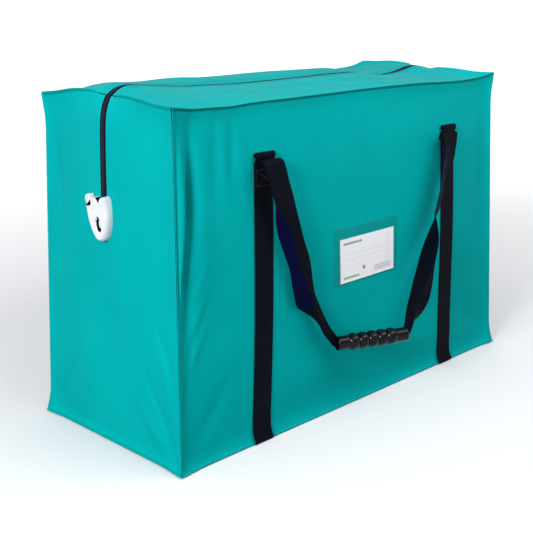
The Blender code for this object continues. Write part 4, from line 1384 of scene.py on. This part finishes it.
def pocket_range(node):
    low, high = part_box(node)
    return (low.x - MIDDLE_X, high.x - MIDDLE_X), (low.z, high.z)


def build_pocket():
    """The clear film, welded along its sides and foot and open at its top."""
    border_x, border_z = pocket_range("pocket_border")
    weld_width = 0.0045

    def film_lift(edge):
        inner = ease((edge - weld_width) / 0.004)
        grooves = sum(np.exp(-((edge - place) / 0.0005) ** 2) for place in (0.0012, 0.0028, 0.0043))
        return 0.0007 + 0.0011 * inner - 0.00022 * grooves

    inner_x = np.linspace(border_x[0] + 0.006, border_x[1] - 0.006, 46)
    inner_z = np.linspace(border_z[0] + 0.006, border_z[1] - 0.006, 30)
    rim = np.arange(0, 0.0056, 0.0005)
    xs = np.concatenate([border_x[0] + rim, inner_x, border_x[1] - rim[::-1]])
    zs = np.concatenate([border_z[0] + rim, inner_z, border_z[1] - rim[::-1]])
    x_grid, z_grid = np.meshgrid(xs, zs)
    edge = np.minimum(np.minimum(x_grid - xs[0], xs[-1] - x_grid), np.minimum(z_grid - zs[0], 1.0))
    points = on_front(x_grid, z_grid, -1, film_lift(edge))
    mesh = grid_mesh("pocket_film", points, np.stack([x_grid, z_grid], axis=-1))
    film = thicken(add_piece("pocket_film", mesh, FILM), 0.0003)
    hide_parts("pocket_window", "pocket_border")
    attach(film, ROOT)


CARD_LIFT, CARD_THICK = 0.0010, 0.0004
PRINT_LIFT, PRINT_THICK = 0.00108, 0.00007
# What is printed: piece, colour, and boxes (left, low, right, high) as shares of the card.
CARD_PRINT = (
    ("heading", INK_DARK, [(0.06 + 0.042 * k, 0.855, 0.092 + 0.042 * k, 0.905) for k in range(8)]),
    ("rule", INK_DARK, [(0.62, 0.10 + 0.045 * k, 0.94, 0.112 + 0.045 * k) for k in range(3)]),
    ("line", INK_FAINT, [(0.875, 0.30, 0.880, 0.93), (0.10, 0.62, 0.84, 0.626), (0.10, 0.50, 0.84, 0.506)]),
    ("block", INK_GREEN, [(0.05, 0.075, 0.34, 0.125)]),
    ("mark", INK_OCHRE, [(0.40, 0.20, 0.445, 0.29)]),
)


def build_card():
    x, z = pocket_range("label_card")
    card = add_patch("label_card_sheet", x, z, CARD_LIFT, CARD_THICK, CARD, (24, 14))
    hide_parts("label_card")
    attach(card, "label")
    width, height = x[1] - x[0], z[1] - z[0]
    for word, ink, boxes in CARD_PRINT:
        for k, (left, low, right, high) in enumerate(boxes):
            across = (x[0] + left * width, x[0] + right * width)
            up = (z[0] + low * height, z[0] + high * height)
            patch = add_patch(f"label_card_{word}_{k + 1}", across, up, PRINT_LIFT, PRINT_THICK, ink, (6, 3))
            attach(patch, "label")


# ---------------------------------------------------------------- lock, slider and tabs
LOCK_MIDDLE = (0.004, 0.347)         # y and z
LOCK_TURN = math.radians(8)
LOCK_BACK, LOCK_FACE = 0.3804, 0.3945        # distances from the bag's middle
LOCK_WALL = 0.3919                   # inside of the housing's face
CHANNEL_HALF, CHANNEL_LOW = 0.0075, 0.3185
# Outlines on the lock's face: across and up from its middle.
LOCK_OUTLINE = ((-0.0085, 0.0215), (-0.0118, 0.0285), (-0.0155, 0.0316), (-0.0210, 0.0316),
                (-0.0247, 0.0296), (-0.0254, 0.0240), (-0.0256, 0.0150), (-0.0250, 0.0040),
                (-0.0226, -0.0075), (-0.0182, -0.0180), (-0.0135, -0.0270), (-0.0080, -0.0325),
                (-0.0010, -0.0340), (0.0060, -0.0325), (0.0115, -0.0270), (0.0165, -0.0180),
                (0.0206, -0.0070), (0.0229, 0.0040), (0.0234, 0.0150), (0.0232, 0.0208), (0.0222, 0.0216),
                (0.0108, 0.0216), (0.0096, 0.0226), (0.0096, 0.0298), (0.0082, 0.0316), (0.0020, 0.0320),
                (-0.0022, 0.0310), (-0.0055, 0.0282))
# The housing's rings from its back to its face: share of its depth, and inset.
LOCK_LEVELS = ((0, 0), (0.40, 0), (0.60, 0.0004), (0.74, 0.0011), (0.86, 0.0021), (0.94, 0.0031),
               (1, 0.0044))
KEYHOLE = ((-0.0086, -0.0030), (-0.0087, -0.0125), (-0.0074, -0.0165), (-0.0045, -0.0190),
           (-0.0003, -0.0190), (0.0026, -0.0165), (0.0039, -0.0125), (0.0038, -0.0030), (0.0030, -0.0018),
           (0.0008, -0.0012), (0.0006, 0.0030), (-0.0054, 0.0030), (-0.0056, -0.0012), (-0.0078, -0.0018))
FACE_PATCH = ((-0.0205, 0.0215), (-0.0212, 0.0100), (-0.0150, 0.0088), (0.0090, 0.0088), (0.0168, 0.0110),
              (0.0170, 0.0195), (0.0040, 0.0210), (-0.0060, 0.0190), (-0.0085, 0.0175), (-0.0110, 0.0190))


# How those two are cut: distance from the bag's middle, and inset.
KEYHOLE_CUTS = ((LOCK_WALL - 0.002, 0), (LOCK_FACE - 0.0015, 0), (LOCK_FACE + 0.0002, -0.0017),
                (LOCK_FACE + 0.001, -0.0017))
PATCH_CUTS = ((LOCK_FACE - 0.0006, 0.0004), (LOCK_FACE + 0.001, -0.0004))
SEAL_SLOT = ((0.0140, 0.006), (0.0180, 0.006), (0.0180, 0.028), (0.0140, 0.028))
SEAL_MIDDLE = 0.3885                 # distance of the seal from the bag's middle
# A dark sheet at the back of the lock's channel: painted shade in the hollow.
SHADE_SHEET_BACK, SHADE_SHEET_FACE, SHADE_SHEET_TOP = 0.3822, 0.3838, 0.3440


def rounded(outline, times=2):
    """A closed outline with its corners cut smooth."""
    points = np.array(outline, float)
    for _ in range(times):
        after = np.roll(points, -1, axis=0)
        points = np.stack([0.75 * points + 0.25 * after, 0.25 * points + 0.75 * after], axis=1).reshape(-1, 2)
    return points


def inset(points, distance):
    """A closed outline moved in by a distance, one for all or one for each point."""
    along = unit(np.roll(points, -1, axis=0) - np.roll(points, 1, axis=0))
    inward = np.stack([-along[:, 1], along[:, 0]], axis=1)
    shifted = np.roll(points, -1, axis=0)
    if np.sum(points[:, 0] * shifted[:, 1] - points[:, 1] * shifted[:, 0]) < 0:
        inward = -inward
    return points + inward * np.broadcast_to(distance, len(points))[:, None]


def on_lock(a, b, out):
    """Places from across and up on the turned lock, and distance out from the bag's middle."""
    cos, sin = math.cos(LOCK_TURN), math.sin(LOCK_TURN)
    y = LOCK_MIDDLE[0] + a * cos + b * sin
    z = LOCK_MIDDLE[1] - a * sin + b * cos
    return np.stack(np.broadcast_arrays(MIDDLE_X - out, y, z), axis=-1)


def lofted(outline, levels, place):
    """A solid through insets of an outline at each (height, inset) level."""
    rings = np.array([place(*inset(outline, cut).T, height) for height, cut in levels])
    return rings.reshape(-1, 3), swept_faces(*rings.shape[:2])


def cut_away(piece, parts):
    """Take closed forms out of a piece."""
    tool = bpy.data.objects.new("cutter", closed_mesh("cutter", parts))
    bpy.context.scene.collection.objects.link(tool)
    modifier = piece.modifiers.new("cut", "BOOLEAN")
    modifier.operation, modifier.solver, modifier.object = "DIFFERENCE", "EXACT", tool
    settle(piece)
    bpy.data.objects.remove(tool)


def box_part(low, high):
    """A box as points and faces."""
    corners = [(x, y, z) for x in (low[0], high[0]) for y in (low[1], high[1]) for z in (low[2], high[2])]
    faces = [[0, 1, 3, 2], [4, 6, 7, 5], [0, 4, 5, 1], [2, 3, 7, 6], [0, 2, 6, 4], [1, 5, 7, 3]]
    return np.array(corners), faces


def build_housing():
    outline = rounded(LOCK_OUTLINE)
    soft = np.where(outline[:, 1] > 0.021, 0.36, 1.0)        # the top edge is rounded less
    soft = sum(np.roll(soft, k) for k in range(-4, 5)) / 9
    depth = LOCK_FACE - LOCK_BACK
    levels = [(LOCK_BACK + depth * share, cut * soft) for share, cut in LOCK_LEVELS]
    mesh = closed_mesh("lock_body", [lofted(outline, levels, on_lock)])
    piece = add_piece("lock_body", mesh, LOCK_WHITE)
    for shape, cuts in ((rounded(KEYHOLE, 1), KEYHOLE_CUTS), (rounded(FACE_PATCH), PATCH_CUTS)):
        cut_away(piece, [lofted(shape, cuts, on_lock)])
    channel = box_part((MIDDLE_X - LOCK_WALL, -CHANNEL_HALF, CHANNEL_LOW),
                       (MIDDLE_X - LOCK_BACK + 0.002, CHANNEL_HALF, LOCK_TOP + 0.02))
    cut_away(piece, [channel])
    slot_cuts = ((SEAL_MIDDLE - SEAL_SLOT_HALF, 0), (SEAL_MIDDLE + SEAL_SLOT_HALF, 0))
    cut_away(piece, [lofted(rounded(SEAL_SLOT, 1), slot_cuts, on_lock)])
    mesh = piece.data
    # Faces inside the channel get the dark material: painted shade in the hollow.
    mesh.materials.append(LOCK_PAINTED_SHADE)
    for face in mesh.polygons:
        x, y, z = face.center
        inside = abs(y) < CHANNEL_HALF + 0.0003 and x > MIDDLE_X - LOCK_WALL - 0.0004 and z < LOCK_TOP - 0.003
        face.material_index = int(inside and z > CHANNEL_LOW - 0.0003 and x < MIDDLE_X - LOCK_BACK - 0.0002)
    mesh.set_sharp_from_angle(angle=math.radians(30))
    shade_sheet = closed_mesh("lock_shade_sheet", [box_part((MIDDLE_X - SHADE_SHEET_FACE, -CHANNEL_HALF, CHANNEL_LOW),
                                                (MIDDLE_X - SHADE_SHEET_BACK, CHANNEL_HALF, SHADE_SHEET_TOP))])
    for item in (piece, add_piece("lock_shade_sheet", shade_sheet, LOCK_PAINTED_SHADE, smooth=False)):
        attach(item, ROOT)
        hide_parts("lock_housing")


SEAL_OUTLINE = ((0.0105, 0.0226), (0.0228, 0.0220), (0.0240, 0.0240), (0.0232, 0.0338),
                (0.0205, 0.0366), (0.0132, 0.0372), (0.0108, 0.0355), (0.0102, 0.0290))
# From its back to its face: distance from the seal's middle, and inset.
SEAL_LEVELS = ((-0.0046, 0.0010), (-0.0038, 0.0002), (0, 0), (0.0032, 0.0002), (0.0044, 0.0010),
               (0.0048, 0.0022))
PRONG_OUTLINE = ((0.0146, 0.0262), (0.0150, 0.0110), (0.0157, 0.0098), (0.0167, 0.0110), (0.0170, 0.0200),
                 (0.0172, 0.0262))
PRONG_HALF, SEAL_SLOT_HALF = 0.0014, 0.0019


def build_seal():
    """The tag on the lock's shoulder, with the prong that goes down into its slot."""
    levels = [(SEAL_MIDDLE + height, cut) for height, cut in SEAL_LEVELS]
    head = lofted(rounded(SEAL_OUTLINE), levels, on_lock)
    prong_levels = ((SEAL_MIDDLE - PRONG_HALF, 0), (SEAL_MIDDLE + PRONG_HALF, 0))
    prong = lofted(np.array(PRONG_OUTLINE), prong_levels, on_lock)
    mesh = closed_mesh("seal_tag_moulded", [head, prong])
    piece = add_piece(mesh.name, mesh, LOCK_WHITE)
    mesh.set_sharp_from_angle(angle=math.radians(35))
    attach(piece, "seal")
    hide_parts("seal_tag")


# The slider's plates over and under the tape: distance from the bag's middle, and inset.
SLIDER_TOP = ((0.3823, 0.0004), (0.3826, 0), (0.3833, 0), (0.3839, 0.0007), (0.3842, 0.0018))
SLIDER_UNDER = ((0.3770, 0.0010), (0.3774, 0.0002), (0.3788, 0), (0.3792, 0.0004))
# The hook on the slider: distance from the bag's middle, and height.
HOOK_PATH = ((0.3840, 0.3685), (0.3850, 0.3660), (0.3852, 0.3560), (0.3852, 0.3460), (0.3853, 0.3390),
             (0.3859, 0.3350), (0.3874, 0.3330), (0.3890, 0.3342), (0.3901, 0.3375), (0.3903, 0.3420),
             (0.3896, 0.3452))


def build_slider():
    low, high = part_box("zip_slider")
    middle = (low.z + high.z) / 2
    half = ((0.0034, -0.0080), (0.0046, -0.0050), (0.0050, 0.0040), (0.0030, 0.0080))
    outline = rounded([(-0.0034, -0.0080), *half, *((-a, b) for a, b in half[:0:-1])])

    def place(a, b, out):
        return np.stack(np.broadcast_arrays(MIDDLE_X - out, a, middle + b), axis=-1)

    top = lofted(outline, SLIDER_TOP, place)
    under = lofted(outline, SLIDER_UNDER, place)
    neck = lofted(np.array([(-0.0006, -0.0010), (0.0006, -0.0010), (0.0006, 0.0074), (-0.0006, 0.0074)]),
                  ((0.3785, 0), (0.3830, 0)), place)
    mesh = closed_mesh("zip_slider_cast", [top, under, neck])
    piece = add_piece(mesh.name, mesh, ZIP_TEETH)
    mesh.set_sharp_from_angle(angle=math.radians(35))
    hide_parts("zip_slider")
    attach(piece, "zip_slider")

    points = curve_through([(MIDDLE_X - x, 0.0008, z) for x, z in HOOK_PATH], 0.0008)
    across = np.tile([0.0, 1.0, 0.0], (len(points), 1))
    section = rounded(((-0.0019, -0.0010), (0.0019, -0.0010), (0.0019, 0.0010), (-0.0019, 0.0010)))
    mesh = closed_mesh("slider_hook", [section_sweep(points, across, normals_of(points), section)])
    piece = add_piece(mesh.name, mesh, LOCK_WHITE)
    mesh.set_sharp_from_angle(angle=math.radians(50))
    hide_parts("slider_tongue")
    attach(piece, "zip_slider")


TAB_LIFTS = 0.0011, 0.0031           # middles of the end tab's two layers, from the fabric


def build_end_tab():
    """A doubled piece of webbing stitched over the zip's lower end."""
    low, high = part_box("zip_end_tab")
    edge = low.z + 0.0010
    under, over = TAB_LIFTS
    path = ((under, high.z - 0.0005), (under, high.z - 0.010), (under, edge + 0.004), (0.0013, edge + 0.001),
            (0.0022, edge), (over, edge + 0.001), (over, edge + 0.004), (over, high.z - 0.010),
            (over, high.z - 0.0010))
    points = [place_end(np.array([0.0]), np.array([z]), 1, lift)[0] for lift, z in path]
    middle = curve_through(points, 0.0012)
    half = (high.y - low.y) / 2
    across = np.tile([0.0, 1.0, 0.0], (len(middle), 1))
    outward = np.cross(across, np.gradient(middle, axis=0))
    mesh = ribbon_mesh("zip_end_tab_webbing", middle, across, outward, half=half)
    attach(finish_webbing(mesh, "zip_end_tab"), ROOT)

    def on_tab(y, z):
        return place_end(y, z, 1, over + STRAP_THICK / 2 + THREAD_LIFT)

    rows = box_stitch(on_tab, (1.0, 0.0, 0.0), half - 0.003, edge + 0.004, high.z - 0.0045, 14)
    add_thread("zip_end_tab_thread", rows, ROOT, THREAD_BLACK, **BOX_THREAD)


# ---------------------------------------------------------------- pieces
build_long_wall("bag_front", "front_panel", -1)
build_long_wall("bag_back", "back_panel", 1)
build_end("bag_left_end", "left_end_panel", -1)
build_end("bag_right_end", "right_end_panel", 1)
build_base()
build_top("bag_top_front", "top_front_panel", -1)
build_top("bag_top_rear", "top_rear_panel", 1)
add_thread("bag_front_thread", sew_wall("bag_front"), ROOT)
add_thread("bag_back_thread", sew_wall("bag_back"), ROOT)
add_thread("bag_left_end_thread", sew_end("bag_left_end", -1), ROOT)
add_thread("bag_right_end_thread", sew_end("bag_right_end", 1), ROOT)
sew_top("bag_top_front")
sew_top("bag_top_rear")
build_zip()
for strap in ("left", "right"):
    build_body_strap(strap)
    build_anchor(strap, -1)
    build_anchor(strap, 1)
for side in (-1, 1):
    build_handle(side)
    build_grip(side)
build_pocket()
build_card()
build_housing()
build_seal()
build_slider()
build_end_tab()

# ---------------------------------------------------------------- carried-over parts
# The lock's back plate and rivets have no piece of their own.
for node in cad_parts.values():
    if node.type == "MESH" and not node.hide_render:
        node.data.materials.clear()
        node.data.materials.append(STEEL if "rivet" in node.name else LOCK_WHITE)

# ---------------------------------------------------------------- camera, floor and light
AZIMUTH, ELEVATION, ROLL = math.radians(-44.8787), math.radians(15.5409), math.radians(-0.3612)
EYE = Vector((MIDDLE_X - 1.19896, -1.14902, 0.66048))
LENS = 66.93                     # in millimetres, for a 36 mm sensor
SKY, SEEN_SKY = 0.76, 1.06       # what lights the bag, and what the camera sees


def add_camera():
    back = Vector((math.sin(AZIMUTH) * math.cos(ELEVATION), -math.cos(AZIMUTH) * math.cos(ELEVATION),
                   math.sin(ELEVATION)))
    right = Vector((0, 0, 1)).cross(back).normalized()
    up = back.cross(right)
    turned_right = math.cos(ROLL) * right + math.sin(ROLL) * up
    turned_up = math.cos(ROLL) * up - math.sin(ROLL) * right
    camera = bpy.data.objects.new("camera", bpy.data.cameras.new("camera"))
    turn = Matrix((turned_right, turned_up, back)).transposed().to_4x4()
    camera.matrix_world = Matrix.Translation(EYE) @ turn
    camera.data.sensor_width = 36
    camera.data.lens = LENS
    camera.data.clip_end = 100
    bpy.context.scene.collection.objects.link(camera)
    bpy.context.scene.camera = camera


def add_light(name, place, target, size, power):
    light = bpy.data.lights.new(name, "AREA")
    light.shape = "RECTANGLE"
    light.size, light.size_y = size
    light.energy = power
    item = bpy.data.objects.new(name, light)
    item.location = place
    item.rotation_euler = (Vector(target) - Vector(place)).to_track_quat("-Z", "Y").to_euler()
    item.visible_camera = False
    bpy.context.scene.collection.objects.link(item)


def add_world():
    """White studio: full light from above, little from below the horizon."""
    world = bpy.data.worlds.new("studio")
    world.use_nodes = True
    nodes, links = world.node_tree.nodes, world.node_tree.links
    direction = nodes.new("ShaderNodeTexCoord").outputs["Generated"]
    split = nodes.new("ShaderNodeSeparateXYZ")
    links.new(direction, split.inputs[0])
    seen = nodes.new("ShaderNodeLightPath").outputs["Is Camera Ray"]
    background = nodes["Background"]
    for source, limits, target in ((split.outputs["Z"], (-0.14, -0.035, 0.12, 1.0), "Color"),
                                   (seen, (0.0, 1.0, SKY, SEEN_SKY), "Strength")):
        spread = nodes.new("ShaderNodeMapRange")
        for socket, value in zip(list(spread.inputs)[1:5], limits):
            socket.default_value = value
        links.new(source, spread.inputs[0])
        links.new(spread.outputs[0], background.inputs[target])
    bpy.context.scene.world = world


def add_stage():
    bpy.ops.mesh.primitive_plane_add(size=60, location=(0, 0, 0))
    floor = bpy.context.object
    floor.name = "floor"
    paint = Paint("floor_paper")
    distance = paint.add("ShaderNodeVectorMath", operation="LENGTH")
    paint.link(paint.place, distance.inputs[0])
    paper = paint.mix(paint.noise(0.8, 2.0), rgb(249, 249, 251), rgb(252, 252, 253))
    paint.colour(paint.mix(paint.spread(distance.outputs["Value"], 0.5, 3.5), rgb(214, 215, 218), paper))
    paint.set(Roughness=0.75, Specular_IOR_Level=0.1, Emission_Color=(1, 1, 1, 1))
    glow = paint.spread(distance.outputs["Value"], 0.7, 2.4, 0.0, 0.42)
    paint.link(glow, paint.shader.inputs["Emission Strength"])
    floor.data.materials.append(paint.material)
    floor.visible_diffuse = False
    add_world()
    bpy.context.scene.view_settings.view_transform = "Standard"
    add_light("overhead_front", (0.30, -0.85, 1.20), (0.25, -0.10, 0.35), (1.6, 0.5), 10.5)
    add_light("key", (-2.7, -0.90, 1.35), (-0.1, 0, 0.25), (0.9, 0.9), 94)


add_camera()
add_stage()
